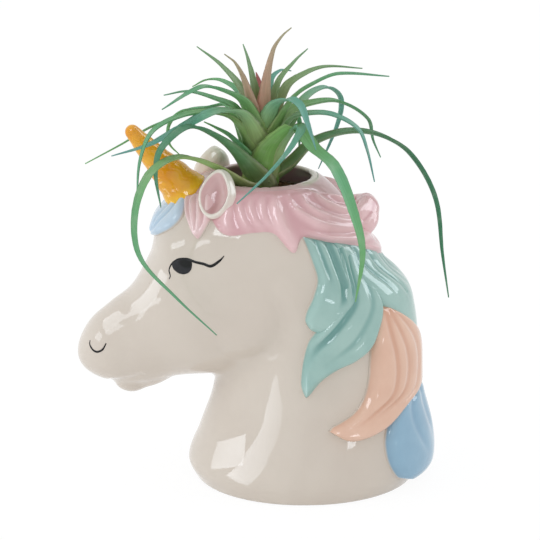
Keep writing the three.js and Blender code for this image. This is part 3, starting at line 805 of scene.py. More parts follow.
@dataclass(frozen=True)
class HeadForm:
    """Outer and inner form of the head, as the square of its half breadth over its side view.

    Rows of the neck are height in percent of the rim, front, back, and half width in percent. Rows of the
    muzzle are distance from its start towards the nose, top, bottom, and half width in percent.
    """

    rim: float
    half_width: float
    floor: float
    mouth_x: float
    mouth_half_length: float
    mouth_half_width: float
    wall: float = 5.0
    mouth_depth: float = 22.0
    neck: tuple = (
        (0, -51, 52, 94), (6, -55, 57.5, 100), (16, -49.8, 57, 96), (30, -43, 52, 87),
        (47, -42, 50.5, 82), (62, -54, 45, 83), (74, -66, 34, 82), (85, -67.5, 26.5, 75),
        (94, -57, 16, 61), (100, -45.5, 5.5, 49), (106, -30, -10, 20),
    )
    muzzle: tuple = (
        (0, 58, -30, 72), (14, 56, -24, 72), (26, 45, -18, 66), (40, 35, -12.6, 54), (52, 32, -11, 46),
        (62, 29.5, -6, 42), (78, 26, 0, 38),
    )
    muzzle_start: tuple = (-30.0, 79.92)
    muzzle_drop: float = 25.0
    muzzle_rear: float = 6.0
    rear_round: float = 26.0
    nose_round: float = 18.0
    cheek: tuple = (-31.6, 89.54)
    cheek_reach: tuple = (25.0, 26.0)
    cheek_half: float = 38.4
    cheek_flare: float = 0.22
    lip: Bulge = Bulge((-81.8, 49.4), (8.4, 6.2), 110.0)
    chin: Bulge = Bulge((-73.0, 51.2), (13.0, 5.0), 120.0, 17.0)
    muzzle_blend: float = 500.0
    cheek_blend: float = 260.0
    lip_blend: float = 50.0
    chin_blend: float = 90.0
    jaw_line: Furrow = Furrow(
        ((-18.2, 104), (-13.6, 96.7), (-11.0, 88.4), (-11.6, 80), (-14.7, 72), (-21.4, 65), (-32, 60)),
        0.6,
        4.0,
    )
    neck_valley: Furrow = Furrow(((6.5, 66), (6.3, 57.8), (4.7, 34.6), (2.7, 26.5), (-2.5, 7.2)), 0.7, 6.0)
    mouth_crease: Furrow = Furrow(((-91.5, 52.0), (-88.5, 52.8), (-83.0, 54.4), (-77.9, 56.6)), 0.8, 1.8)
    furrow_reach: float = 4.0
    rim_round: float = 3.0
    foot_round: float = 1.6
    mouth_blend: float = 2.0
    edge_round: float = 2.6
    least_slope: float = 3.0

    @classmethod
    def from_frame(cls, gap: float = 1.0, clearance: float = 0.3) -> HeadForm:
        """Form with the rim, breadth, floor and mouth of the frame's solids.

        Args:
            gap: space between the pad and the wall of the mouth.
            clearance: space between the foam and the floor.

        Returns:
            The form.
        """
        shell, pad, foam = (frame_box(node) for node in ("head_shell", "moss_pad", "foam_block"))
        middle, reach = pad.mean(axis=0), (pad[1] - pad[0]) / 2.0
        return cls(
            rim=float(shell[1, 2]),
            half_width=float(shell[1, 1] - shell[0, 1]) / 2.0,
            floor=float(foam[0, 2]) - clearance,
            mouth_x=float(middle[0]),
            mouth_half_length=float(reach[0]) + gap,
            mouth_half_width=float(reach[1]) + gap,
        )

    def sections(self, z: Array, inset: float = 0.0) -> Array:
        """Front, back and half width of the neck, from rows in percent of the rim and the half width.

        Args:
            z: heights.
            inset: wall taken off.

        Returns:
            Front, back and half width, last axis.
        """
        rows = np.array(self.neck, float)
        read = hermite(rows[:, 0], rows[:, 1:], 100.0 * z / self.rim)
        return read * [1.0, 1.0, self.half_width / 100.0] + [inset, -inset, -inset]

    def breadth(self, x: Array, z: Array, inset: float = 0.0) -> Array:
        """Squared half breadth: neck, muzzle, cheek and chin ellipses joined by smooth maxima.

        Args:
            x: places along the head.
            z: heights.
            inset: wall taken off.

        Returns:
            Squared half breadth, negative outside the outline.
        """
        front, back, half = np.moveaxis(self.sections(z, inset), -1, 0)
        neck = half**2 * (1.0 - ((2.0 * x - front - back) / (back - front)) ** 2)
        behind, across = turned(x, z, self.muzzle_start, self.muzzle_drop)
        along = -behind
        rows = np.array(self.muzzle, float)
        top, bottom, wide = np.moveaxis(hermite(rows[:, 0], rows[:, 1:], along), -1, 0)
        top, bottom, wide = top - inset, bottom + inset, wide * self.half_width / 100.0 - inset
        end = rows[-1, 0] - inset
        nose = np.maximum(0.0, along - end + self.nose_round) / self.nose_round
        rear = np.maximum(0.0, self.muzzle_rear - along) / self.rear_round
        middle = (2.0 * across - top - bottom) / (top - bottom)
        muzzle = wide**2 * (1.0 - middle**2 - nose**2 - rear**2)
        ahead, above = x - self.cheek[0], z - self.cheek[1]
        reach, tall = (size - inset for size in self.cheek_reach)
        disc = (ahead / reach) ** 2 + (above / tall) ** 2
        cheek = (self.cheek_half + self.cheek_flare * ahead - inset) ** 2 * (1.0 - disc**2)
        joined = smooth_max(smooth_max(neck, muzzle, self.muzzle_blend), cheek, self.cheek_blend)
        if inset > 0.0:
            return joined
        mouth = smooth_max(self.lip.breadth(x, z), self.chin.breadth(x, z), self.lip_blend)
        return smooth_max(joined, mouth, self.chin_blend)

    def depth_in(self, points: Array, inset: float = 0.0, step: float = 0.2) -> Array:
        """Depth below the skin, about in millimetres: (breadth - y^2) over the size of its slope.

        Args:
            points: where to read it.
            inset: wall taken off.
            step: step over which the slope is read.

        Returns:
            Depth at each point, negative outside.
        """
        x, y, z = np.moveaxis(points, -1, 0)
        value = self.breadth(x, z, inset)
        slope_x = (self.breadth(x + step, z, inset) - value) / step
        slope_z = (self.breadth(x, z + step, inset) - value) / step
        return (value - y**2) / np.sqrt(slope_x**2 + slope_z**2 + 4.0 * y**2 + self.least_slope**2)

    def skin(self, points: Array) -> Array:
        """Depth below the outer skin with the jaw line, neck valley and mouth crease pressed in.

        Args:
            points: where to read it.

        Returns:
            Depth at each point.
        """
        depth = self.depth_in(points)
        near = np.abs(depth) < self.furrow_reach
        furrows = (self.jaw_line, self.neck_valley, self.mouth_crease)
        depth[near] -= sum(furrow.press(points[near]) for furrow in furrows)
        return depth

    def oval(self, points: Array, inset: float = 0.0) -> Array:
        """Distance from the axis of the mouth as a share of the mouth, drawn in by inset."""
        along = (points[..., 0] - self.mouth_x) / (self.mouth_half_length - inset)
        return np.hypot(along, points[..., 1] / (self.mouth_half_width - inset))

    def shell(self, points: Array) -> Array:
        """Depth in the wall: skin, foot and rim less the hollow and the mouth, with rounded edges.

        Args:
            points: where to read it.

        Returns:
            Depth at each point.
        """
        z = points[..., 2]
        body = smooth_min(self.skin(points), self.rim - z, self.rim_round)
        body = smooth_min(body, z, self.foot_round)
        hollow = np.minimum(self.depth_in(points, self.wall), z - self.floor)
        bore = np.minimum((1.0 - self.oval(points)) * self.mouth_half_width, z - self.rim + self.mouth_depth)
        return smooth_min(body, -smooth_max(hollow, bore, self.mouth_blend), self.edge_round)

    def slope(self, field_of: Field, points: Array, step: float = 0.15) -> Array:
        """Slope of a field at points, from differences over a small step to both sides."""
        sides = [field_of(points + shift) - field_of(points - shift) for shift in np.eye(3) * step]
        return np.stack(sides, axis=-1) / (2.0 * step)

    def settle(
        self, field_of: Field, points: Array, rounds: int, longest: float = 3.0
    ) -> tuple[Array, Array]:
        """Moves points onto the zero of a field along its slope.

        Args:
            field_of: field that is positive inside.
            points: points near its surface.
            rounds: number of steps.
            longest: length that no step passes.

        Returns:
            The settled points and the outward normals there.
        """
        moved = points
        for _ in range(rounds):
            slope = self.slope(field_of, moved)
            size = np.maximum(np.sum(slope**2, axis=-1, keepdims=True), 1e-4)
            step = -slope * field_of(moved)[..., None] / size
            length = np.linalg.norm(step, axis=-1, keepdims=True)
            moved = moved + step * np.minimum(1.0, longest / np.maximum(length, 1e-9))
        return moved, -unit(self.slope(field_of, moved))

    def at(self, angle: Array, height: Array) -> tuple[Array, Array]:
        """Plain skin at angles round from the nape: an ellipse at each height, settled on the skin.

        Args:
            angle: degrees, positive on the left.
            height: heights in mm.

        Returns:
            The points and the outward normals there.
        """
        front, back, half = np.moveaxis(self.sections(height), -1, 0)
        turn = np.radians(angle)
        x = (front + back) / 2.0 + (back - front) / 2.0 * np.cos(turn)
        return self.settle(self.depth_in, np.stack([x, -half * np.sin(turn), height], axis=-1), rounds=6)

    def side(self, flat: Array) -> Array:
        """Points of the left side at places (x, z) of the side view: y is minus the half breadth."""
        half = np.sqrt(np.maximum(self.breadth(flat[..., 0], flat[..., 1]), 0.01))
        return np.stack([flat[..., 0], -half, flat[..., 1]], axis=-1)

    def net(self, field_of: Field, low: Array, high: Array, cell: float) -> Shape:
        """Closed surface where a field is zero.

        One point is set in each grid cell that the surface crosses and settled on it; a quad is laid
        round each crossed edge.

        Args:
            field_of: field that is positive inside.
            low: lower corner of the grid.
            high: upper corner of the grid.
            cell: spacing of the grid.

        Returns:
            The surface, with the slope of the field as its normals.
        """
        size = np.ceil((high - low) / cell).astype(int) + 1
        axes = [low[a] + cell * np.arange(size[a]) for a in range(3)]
        grid = np.stack(np.meshgrid(*axes, indexing="ij"), axis=-1)
        value = field_of(grid)
        inside = value > 0
        cut = [slice(0, -1), slice(1, None)]
        corner = [(i, j, k) for i in (0, 1) for j in (0, 1) for k in (0, 1)]
        count = sum(inside[cut[i], cut[j], cut[k]].astype(int) for i, j, k in corner)
        crossed = (count > 0) & (count < 8)
        number = np.full(crossed.shape, -1)
        number[crossed] = np.arange(crossed.sum())
        total = np.zeros(crossed.shape + (3,))
        hits = np.zeros(crossed.shape)
        for axis in range(3):
            for i, j, k in [c for c in corner if c[axis] == 0]:
                a = [cut[i], cut[j], cut[k]]
                b = list(a)
                b[axis] = cut[1]
                va, vb = value[tuple(a)], value[tuple(b)]
                change = (va > 0) != (vb > 0)
                share = np.where(change, va / np.where(change, va - vb, 1.0), 0.0)
                place = np.broadcast_to(np.array([i, j, k], float), crossed.shape + (3,)).copy()
                place[..., axis] += share
                total += place * change[..., None]
                hits += change
        mean = total[crossed] / hits[crossed][:, None]
        points, normals = self.settle(field_of, low + cell * (np.argwhere(crossed) + mean), rounds=3)
        quads = []
        for axis in range(3):
            u, v = (axis + 1) % 3, (axis + 2) % 3
            first = [slice(1, -1)] * 3
            second = [slice(1, -1)] * 3
            first[axis], second[axis] = slice(0, -1), slice(1, None)
            starts_in = inside[tuple(first)]
            places = np.argwhere(starts_in != inside[tuple(second)])
            leaving = starts_in[tuple(places.T)]
            offset = np.ones(3, int)
            offset[axis] = 0
            places = places + offset
            ring = []
            for back_u, back_v in [(1, 1), (0, 1), (0, 0), (1, 0)]:
                cell_of = places.copy()
                cell_of[:, u] -= back_u
                cell_of[:, v] -= back_v
                ring.append(number[tuple(cell_of.T)])
            quad = np.stack(ring, axis=-1)
            quads.append(np.where(leaving[:, None], quad, quad[:, ::-1]))
        faces = np.concatenate(quads)
        return Shape(points, faces.ravel(), np.arange(len(faces)) * 4, normals=normals)


@dataclass
class Pot:
    """Cast head: shell with rounded lip, made as the zero surface of its wall field."""

    form: HeadForm
    cell: float = 1.4
    margin: float = 5.0
    rim_band: tuple = (0.915, 0.94)
    lip_band: tuple = (0.93, 0.99)
    bare_start: tuple = (14.0, 20.0)
    bare_edge: tuple = (1.22, 1.34)

    def blush(self, points: Array) -> Array:
        """Share of rose glaze: full near the rim, none on the bare lip at the nape end of the mouth.

        Args:
            points: points of the shell.

        Returns:
            Share at each point.
        """
        form = self.form
        oval = form.oval(points)
        rim = smoothstep(*(share * form.rim for share in self.rim_band), points[:, 2])
        bare = smoothstep(*(form.mouth_x + place for place in self.bare_start), points[:, 0])
        bare = bare * (1.0 - smoothstep(*self.bare_edge, oval))
        return rim * smoothstep(*self.lip_band, oval) * (1.0 - bare)

    def build(self) -> None:
        """Makes the shell and dresses it."""
        low, high = frame_box("head_shell") + np.outer([-1.0, 1.0], np.full(3, self.margin))
        shell = self.form.net(self.form.shell, low, high, self.cell)
        shell.values = {"blush": self.blush(shell.points)}
        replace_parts(shell.build("pot_shell", "pot", WhiteGlaze().make(), "glaze_white"), "head_shell")


@dataclass(frozen=True)
class Groove:
    """Line pressed along a lock: share of the width where it starts and ends, depth, width and run."""

    start: float
    end: float
    depth: float = 0.9
    width: float = 1.2
    until: float = 1.0


def both(*grooves: Groove) -> tuple:
    """Grooves of the left half of a lock, then their twins on the right half."""
    return grooves + tuple(replace(one, start=1.0 - one.start, end=1.0 - one.end) for one in grooves)


def over_nape(*rows: tuple) -> tuple:
    """Edge that crosses the nape: rows of the left side, the last at the nape, then their twins."""
    return rows + tuple((-angle, height) for angle, height in reversed(rows[:-1]))


@dataclass(frozen=True)
class Strand:
    """Soft ridge of hair: angle from the nape and height in mm along it, half width and rise in mm."""

    path: tuple
    half_width: float
    rise: float
    root: float = 0.6
    droop: float = 0.4
    spread_by: float = 0.4
    risen_by: float = 0.3
    steps: int = 48

    def bump(self, form: HeadForm, places: Array) -> Array:
        """Height of the ridge at places of either side: a bell across the nearest point of its path.

        Args:
            form: the head that it lies on.
            places: points on the skin.

        Returns:
            Height over the skin, none far from the path.
        """
        s = np.linspace(0.0, 1.0, self.steps)
        flat = curve(self.path, s)
        path, _ = form.at(flat[:, 0], flat[:, 1])
        gap = np.sum((onto_left(places)[..., None, :] - path) ** 2, axis=-1)
        closest = np.argmin(gap, axis=-1)
        swell = self.root + (1.0 - self.root) * smoothstep(0.0, self.spread_by, s)
        tall = self.rise * smoothstep(-0.05, self.risen_by, s) * (1.0 - self.droop * s**3)
        across = np.take_along_axis(gap, closest[..., None], axis=-1)[..., 0]
        return tall[closest] * np.exp(-across / (self.half_width * swell[closest]) ** 2)


@dataclass(frozen=True)
class Lock:
    """One lock of the mane as a swollen sheet between two edges on the skin.

    Edges are rows of angle round from the nape and height in percent of the rim, evenly spaced. A lock with
    no right edge lies across the nape, and its right edge is the mirrored left one.
    """

    left: tuple
    right: tuple = ()
    height: float = 4.2
    grooves: tuple = ()
    swell: float = 4.2
    power: float = 0.8
    faded_top: bool = True
    round_end: float = 0.12
    sag: float = 0.0
    lift: tuple = (1.0, 1.0, 1.0)
    strands: tuple = ()
    steps: int = 90
    columns: int = 48
    tip: float = 0.985
    clear: float = 0.05
    sink: float = 0.9
    fade: float = 0.9
    groove_end: tuple = (0.25, 0.05)
    sag_round: float = 0.02
    end_border: float = 0.2

    def sheet(self, form: HeadForm) -> Shape:
        """Skin points between the edges, raised by a soft swelling across the width less the grooves.

        With t the distance from the border over the swell, height is H (1 - (1 - t)^2)^power, level past
        the swell, less a bell for each groove, whose depth dies out where the groove ends, plus the rounded
        maximum of the strands. The last stretch narrows as a half ellipse.

        Args:
            form: the head that it lies on.

        Returns:
            The closed sheet with point values fade and relief.
        """
        u = np.linspace(0.0, 1.0, self.steps)
        v = 0.5 - 0.5 * np.cos(math.pi * np.linspace(0.0, 1.0, self.columns))
        left = evenly(self.left, u)
        right = evenly(self.right, u) if self.right else left * [-1.0, 1.0]
        late = np.clip((u - 1.0 + self.round_end) / self.round_end, 0.0, 1.0)
        middle = 0.5 * (left + right)
        half = 0.5 * (right - left) * np.sqrt(1.0 - self.tip * late**2)[:, None]
        flat = middle[:, None] + half[:, None] * (2.0 * v - 1.0)[:, None]
        flat[..., 1] -= self.sag * np.outer(1.0 - u, 1.01 - np.sqrt((2.0 * v - 1.0) ** 2 + self.sag_round))
        base, out = form.at(flat[..., 0], flat[..., 1] * form.rim / 100.0)
        span = np.linalg.norm(np.diff(base, axis=1), axis=-1).sum(axis=1)[:, None]
        run = lengths_along(base[:, self.columns // 2])[:, None]
        ends = np.minimum(run, run[-1] - run) + self.end_border
        border = np.minimum(np.minimum(v, 1.0 - v) * span, ends)
        puff = (1.0 - (1.0 - np.clip(border / self.swell, 0.0, 1.0)) ** 2) ** self.power
        crease = np.zeros_like(border)
        for groove in self.grooves:
            centre = (groove.start + (groove.end - groove.start) * u)[:, None]
            begin, end = groove.until - self.groove_end[0], groove.until + self.groove_end[1]
            fall = (1.0 - smoothstep(begin, end, u))[:, None]
            crease += groove.depth * fall * np.exp(-(((v - centre) * span / groove.width) ** 2))
        tall = evenly(self.lift, u)[:, None]
        hair = sum((strand.bump(form, base) ** 4 for strand in self.strands), np.zeros_like(border)) ** 0.25
        rise = (self.height * tall + hair - crease * np.sqrt(tall)) * puff
        top = base + out * (rise + self.clear)[..., None]
        # Relief sets the glaze colour: low in grooves and near the lock's edge as painted shade, high on the
        # strands as a painted highlight.
        relief = 0.3 + 0.32 * hair if self.strands else 0.35 + 0.65 * puff - 0.7 * crease
        relief = np.clip(relief, 0.0, 1.0)
        fade = np.clip((border if self.faded_top else v * span) / self.fade, 0.0, 1.0)
        values = {"relief": there_and_back(relief, relief), "fade": there_and_back(fade, fade)}
        return Shape.loft(there_and_back(top, base - out * self.sink), values).turned_out()


@dataclass(frozen=True)
class Tuft:
    """Swept-up end of hair behind the crown: round strands that run together into one curl.

    Rows of a strand are x, y, height under the rim and radius; each side strand is there on both sides.
    """

    form: HeadForm
    curl: tuple = (
        (12, 0, -40, 12), (19, 0, -31, 10.6), (25, 0, -22.6, 7.8), (29.4, 0, -16.6, 5.3), (29, 0, -15.2, 4)
    )
    upper: tuple = (
        (6, -27, -16, 1.6), (14, -20.5, -18.2, 2.8), (21, -13.5, -18.6, 3.6), (26, -8, -16.8, 3.9),
        (29, -3, -14.6, 3.4),
    )
    lower: tuple = (
        (11, -27.5, -23, 1.6), (19, -21, -25, 2.8), (25, -14.5, -24.6, 3.7), (29.6, -8.5, -21.6, 4),
        (30.6, -3, -17.6, 4),
    )
    blend: float = 2.2
    skirt: float = 0.5
    reach: float = 15.0
    cell: float = 0.6
    parts: int = 30

    def strand(self, points: Array, rows: tuple) -> Array:
        """Depth in a round strand: radius less the distance to the nearest of its short straight parts.

        Args:
            points: where to read it.
            rows: rows of the strand.

        Returns:
            Depth below its skin.
        """
        read = curve(rows, np.linspace(0.0, 1.0, self.parts)) + [0.0, 0.0, self.form.rim, 0.0]
        begin, step = read[:-1], np.diff(read, axis=0)
        away = points[..., None, :] - begin[:, :3]
        share = np.einsum("...ij,ij->...i", away, step[:, :3]) / np.sum(step[:, :3] ** 2, axis=-1)
        share = np.clip(share, 0.0, 1.0)
        gap = np.linalg.norm(away - share[..., None] * step[:, :3], axis=-1)
        return np.max(begin[:, 3] + share * step[:, 3] - gap, axis=-1)

    def depths(self, points: Array) -> Array:
        """Depth in each strand, stacked along the first axis."""
        near = onto_left(points)
        return np.stack([self.strand(near, rows) for rows in (self.curl, self.upper, self.lower)])

    def depth(self, points: Array) -> Array:
        """Depth in the tuft: its strands and the skin under the crown, joined by smooth maxima.

        Args:
            points: where to read it.

        Returns:
            Depth at each point.
        """
        joined = self.form.depth_in(points) + self.skirt
        for one in self.depths(points):
            joined = smooth_max(joined, one, self.blend)
        return np.minimum(joined, self.reach - np.linalg.norm(points - self.middle(), axis=-1))

    def middle(self) -> Array:
        """Middle of the curl."""
        return np.array(self.curl[2][:3]) + [0.0, 0.0, self.form.rim]

    def shape(self) -> Shape:
        """Zero surface of the depth, with relief low in the valleys between strands, which paints shade into
        them.

        Returns:
            The closed tuft with point values fade and relief.
        """
        low, high = self.middle() + np.outer([-1.0, 1.0], np.full(3, self.reach + 2.0 * self.cell))
        tuft = self.form.net(self.depth, low, high, self.cell)
        ranked = np.sort(self.depths(tuft.points), axis=0)
        # painted shade: where two strands meet, the glaze gets its deep colour
        valley = np.exp(-((ranked[-1] - ranked[-2]) ** 2))
        tuft.values = {"relief": 0.85 - 0.5 * valley, "fade": np.ones(len(tuft.points))}
        return tuft


@dataclass
class Mane:
    """Crown, forelocks, side locks, nape and rear tuft, each in its own glaze."""

    form: HeadForm
    pink: TintedGlaze = TintedGlaze("pink_glaze", srgb(240, 203, 205), srgb(209, 156, 163))
    mint: TintedGlaze = TintedGlaze("mint_glaze", srgb(170, 204, 197), srgb(112, 162, 157))
    peach: TintedGlaze = TintedGlaze("peach_glaze", srgb(238, 200, 178), srgb(219, 168, 142))
    nape: TintedGlaze = TintedGlaze("nape_glaze", srgb(153, 190, 213), srgb(117, 158, 189))
    brow: TintedGlaze = TintedGlaze("brow_glaze", srgb(204, 222, 238), srgb(166, 196, 220))
    curl: TintedGlaze = TintedGlaze("curl_glaze", srgb(248, 222, 222), srgb(222, 178, 182))
    crown: Lock = Lock(
        over_nape(
            (126, 90.5), (113, 86.5), (97, 87.4), (85, 87), (76.5, 81.2), (68, 85.5), (52, 82.6), (34, 79.6),
            (17, 75.2), (0, 71.4),
        ),
        over_nape(
            (122, 99), (110, 99), (95, 99), (83, 99), (74, 99), (66, 99), (50, 98.5), (32, 96.5),
            (17, 94), (0, 92),
        ),
        1.4,
        power=1.3,
        swell=3.6,
        faded_top=False,
        round_end=0.001,
        strands=(
            Strand(((115, 141.0), (116, 135.6), (113, 130.8)), 2.8, 1.7),
            Strand(((110, 144.0), (109, 140.0), (105, 135.6), (100, 131.2)), 2.3, 1.5),
            Strand(((100, 144.5), (101, 140.4), (97, 135.1), (92, 131.2)), 2.4, 1.6),
            Strand(((91, 145.0), (93, 140.8), (91, 135.7), (86, 131.4)), 2.4, 1.6),
            Strand(((80, 145.5), (83, 139.6), (81, 131.9), (78, 126.4), (76, 121.2)), 3.4, 2.4),
            Strand(((71, 146.0), (70, 139.4), (63, 134.2), (53, 130.2), (34, 126.6), (14, 126.0)), 2.5, 3.1),
            Strand(((59, 146.4), (59, 139.2), (50, 133.6), (37, 129.6), (18, 128.8), (4, 130.0)), 2.5, 3.2),
            Strand(((46, 146.2), (44, 140.0), (34, 134.6), (20, 132.4), (5, 133.0)), 2.3, 3.0),
            Strand(((31, 144.4), (28, 140.4), (20, 137.0), (10, 136.0), (3, 136.4)), 2.2, 2.2),
            Strand(((68, 130.0), (59, 125.6), (47, 122.8), (25, 121.6), (4, 122.0)), 2.7, 2.9),
            Strand(((64, 125.4), (52, 120.6), (37, 117.0), (16, 112.6), (0, 110.8)), 2.9, 2.4),
        ),
        steps=420,
        columns=64,
    )
    forelock: Lock = Lock(
        ((165, 94.5), (154, 92), (147.5, 90), (139.5, 87.6), (132.5, 84.6)),
        ((139, 98.5), (130, 96), (126.5, 92.5), (126, 89.3), (128.5, 84.6)),
        1.6,
        swell=3.0,
        strands=(
            Strand(((162, 141.0), (151, 136.2), (141, 131.9), (133.2, 126.6)), 1.3, 2.4),
            Strand(((155, 142.6), (145.5, 137.2), (137.5, 132.4), (131.6, 126.9)), 1.2, 2.6),
            Strand(((148, 143.8), (140.5, 138.6), (134, 133.6), (130.2, 127.6)), 1.2, 2.6),
            Strand(
                ((141.5, 144.8), (134.5, 139.8), (129.5, 135.4), (127.4, 131.8), (128.8, 128.2)), 1.3, 2.4
            ),
        ),
        steps=80,
        columns=50,
    )
    brow_lock: Lock = Lock(
        ((161, 94.5), (150.5, 90), (152, 86.3), (161.5, 83), (176, 80.4)),
        ((199, 94.5), (209.5, 90), (208, 86.3), (198.5, 83), (184, 80.4)),
        3.0,
        both(Groove(0.2, 0.3, 1.2, 1.1), Groove(0.36, 0.4, 1.3, 1.1)),
        swell=3.2,
    )
    mint_upper: Lock = Lock(
        ((69, 86), (68, 78.5), (69.5, 73), (77.5, 68), (87, 63), (92.5, 58)),
        ((42, 81.5), (45, 75.5), (50.5, 69), (57.5, 64.5), (70, 60), (84, 55.2)),
        4.6,
        (
            Groove(0.24, 0.36, 1.3, 1.4, 0.5),
            Groove(0.5, 0.74, 2.2, 1.9, 0.72),
            Groove(0.74, 0.92, 1.8, 1.7, 0.66),
        ),
        lift=(0.5, 1.0, 0.9),
    )
    mint_lower: Lock = Lock(
        (
            (50, 80.5), (54, 75), (59, 70.2), (66, 65.8), (75, 62), (86.5, 57), (94.5, 52.8),
            (100.5, 46.4), (102.5, 40), (101.5, 35),
        ),
        (
            (36, 79.5), (37, 73), (38.5, 67), (42, 60.5), (50.5, 54.4), (58.5, 49.4), (69, 46),
            (81, 43.6), (91, 39.8), (96, 35),
        ),
        5.2,
        (Groove(0.34, 0.1, 1.7, 1.9, 0.8), Groove(0.72, 0.5, 0.9, 2.2, 0.8)),
        lift=(0.5, 1.0, 0.8),
    )
    mint_rear: Lock = Lock(
        ((52, 84), (50, 77), (48, 70), (45, 63), (35, 57.2), (20, 50.6), (4, 44.8)),
        (),
        6.4,
        (
            Groove(0.5, 0.5, 2.4, 4.0, 0.34),
            *both(
                Groove(0.12, 0.26, 1.4, 1.6, 0.5),
                Groove(0.24, 0.38, 1.3, 1.6, 0.5),
                Groove(0.38, 0.46, 1.1, 1.5, 0.45),
            ),
        ),
        swell=6.0,
        sag=9.5,
        lift=(0.32, 0.34, 0.75, 0.68, 0.58, 0.45),
        columns=90,
    )
    peach_lock: Lock = Lock(
        (
            (44, 62.4), (51.5, 57.2), (57.5, 51.5), (61, 45), (62.5, 39), (65.5, 33.5), (71.5, 29.4),
            (79, 27), (84, 25.7), (86.5, 24.8),
        ),
        (
            (38, 61.8), (28, 57.6), (15, 52.5), (4, 47), (0, 39), (5, 33), (31, 28.6), (53, 22.6),
            (73, 20.6), (86, 24.2),
        ),
        5.0,
        (
            Groove(0.3, 0.3, 1.2, 1.9, 0.85),
            Groove(0.52, 0.4, 1.1, 1.8, 0.8),
            Groove(0.74, 0.62, 0.9, 1.8, 0.7),
        ),
        swell=5.0,
    )
    nape_lock: Lock = Lock(
        ((20, 31.6), (40, 28.8), (49.5, 24.8), (54, 20), (54.5, 16), (52.5, 11.5), (47, 7), (39, 3.4)),
        (),
        4.6,
        both(Groove(0.1, 0.34, 0.7, 2.4, 0.8), Groove(0.3, 0.44, 0.6, 2.6, 0.7)),
        swell=6.0,
        columns=80,
    )

    def pair(self, shape: Shape, name: str, node: str, finish: Material, slot: str) -> None:
        """Sets a lock of the left side and its mirrored twin in place of their solids.

        Args:
            shape: lock of the left side.
            name: name of the pieces, to which the side is added.
            node: name of the solids, to which the side is added.
            finish: their material.
            slot: slot of the record.
        """
        for side, twin in shape.sides():
            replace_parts(twin.build(f"{name}_{side}", "pot", finish, slot), f"{node}_{side}")

    def build(self) -> None:
        """Makes every lock and dresses it."""
        form = self.form
        pink, mint, nape = self.pink.make(), self.mint.make(), self.nape.make()
        crown = self.crown.sheet(form).build("mane_crown", "pot", pink, "glaze_pink")
        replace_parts(crown, "crown_left", "crown_right")
        tuft = Tuft(form).shape().build("mane_tuft", "pot", pink, "glaze_pink")
        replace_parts(tuft, "rear_tuft")
        self.pair(self.forelock.sheet(form), "forelock_curl", "forelock_pink", self.curl.make(), "glaze_pink")
        brow = self.brow_lock.sheet(form).build("forelock_brow", "pot", self.brow.make(), "glaze_blue")
        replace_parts(brow, "forelock_blue")
        self.pair(self.mint_upper.sheet(form), "lock_mint_upper", "mint_upper", mint, "glaze_mint")
        self.pair(self.mint_lower.sheet(form), "lock_mint_lower", "mint_lower", mint, "glaze_mint")
        self.pair(self.peach_lock.sheet(form), "lock_peach", "peach", self.peach.make(), "glaze_peach")
        rear = self.mint_rear.sheet(form).build("lock_mint_rear", "pot", mint, "glaze_mint")
        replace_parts(rear, "mint_rear_left", "mint_rear_right")
        low = self.nape_lock.sheet(form).build("lock_nape", "pot", nape, "glaze_blue")
        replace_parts(low, "nape_blue_left", "nape_blue_right")


@dataclass
class Horn:
    """Tapered horn on the brow with a slow spiral and a rounded tip."""

    form: HeadForm
    drop: float = 7.7
    length: float = 41.0
    rise: float = 50.0
    base_radius: float = 10.2
    tip_radius: float = 3.4
    turns: float = 6.0
    root: float = 9.0
    flare: float = 0.9
    flare_fall: float = 2.2
    swirl: float = 0.02
    swirl_start: float = 3.0

    def shape(self) -> Shape:
        """Rings along the axis: radius falls evenly, flares at the brow and waves in a spiral.

        Returns:
            The closed horn with point value along.
        """
        z = self.form.rim - self.drop
        front = self.form.sections(np.array([z]))[0, 0]
        seat, _ = self.form.settle(self.form.depth_in, np.array([[front, 0.0, z]]), rounds=6)
        lean = math.radians(self.rise)
        axis = np.array([-math.cos(lean), 0.0, math.sin(lean)])
        side = np.array([0.0, 1.0, 0.0])
        face = np.cross(side, axis)
        body = self.length - self.tip_radius
        tip = body + self.tip_radius * np.sin(np.linspace(0.1, 1.5, 14))
        along = np.r_[np.linspace(-self.root, body, 90), tip]
        share = np.clip(along / body, 0.0, 1.0)
        radius = self.base_radius + (self.tip_radius - self.base_radius) * share
        radius = radius + self.flare * np.exp(-np.maximum(along, 0.0) / self.flare_fall)
        cap = np.clip((along - body) / self.tip_radius, 0.0, 0.999)
        radius = radius * np.sqrt(1.0 - cap**2)
        turn = circle(64)
        phase = 2.0 * turn - (2.0 * math.pi * self.turns * along / self.length)[:, None]
        strength = self.swirl * (1.0 - cap) * np.clip(along / self.swirl_start, 0.0, 1.0)
        wave = 1.0 + np.cos(phase) * strength[:, None]
        around = side * np.cos(turn)[:, None] + face * np.sin(turn)[:, None]
        rings = seat[0] + axis * along[:, None, None] + around * (radius[:, None] * wave)[..., None]
        height = np.broadcast_to(np.clip(along / self.length, 0.0, 1.0)[:, None], rings.shape[:2])
        return Shape.loft(rings, {"along": height}).turned_out()

    def build(self) -> None:
        """Makes the horn and dresses it."""
        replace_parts(self.shape().build("horn_amber", "pot", HornGlaze().make(), "glaze_gold"), "horn")


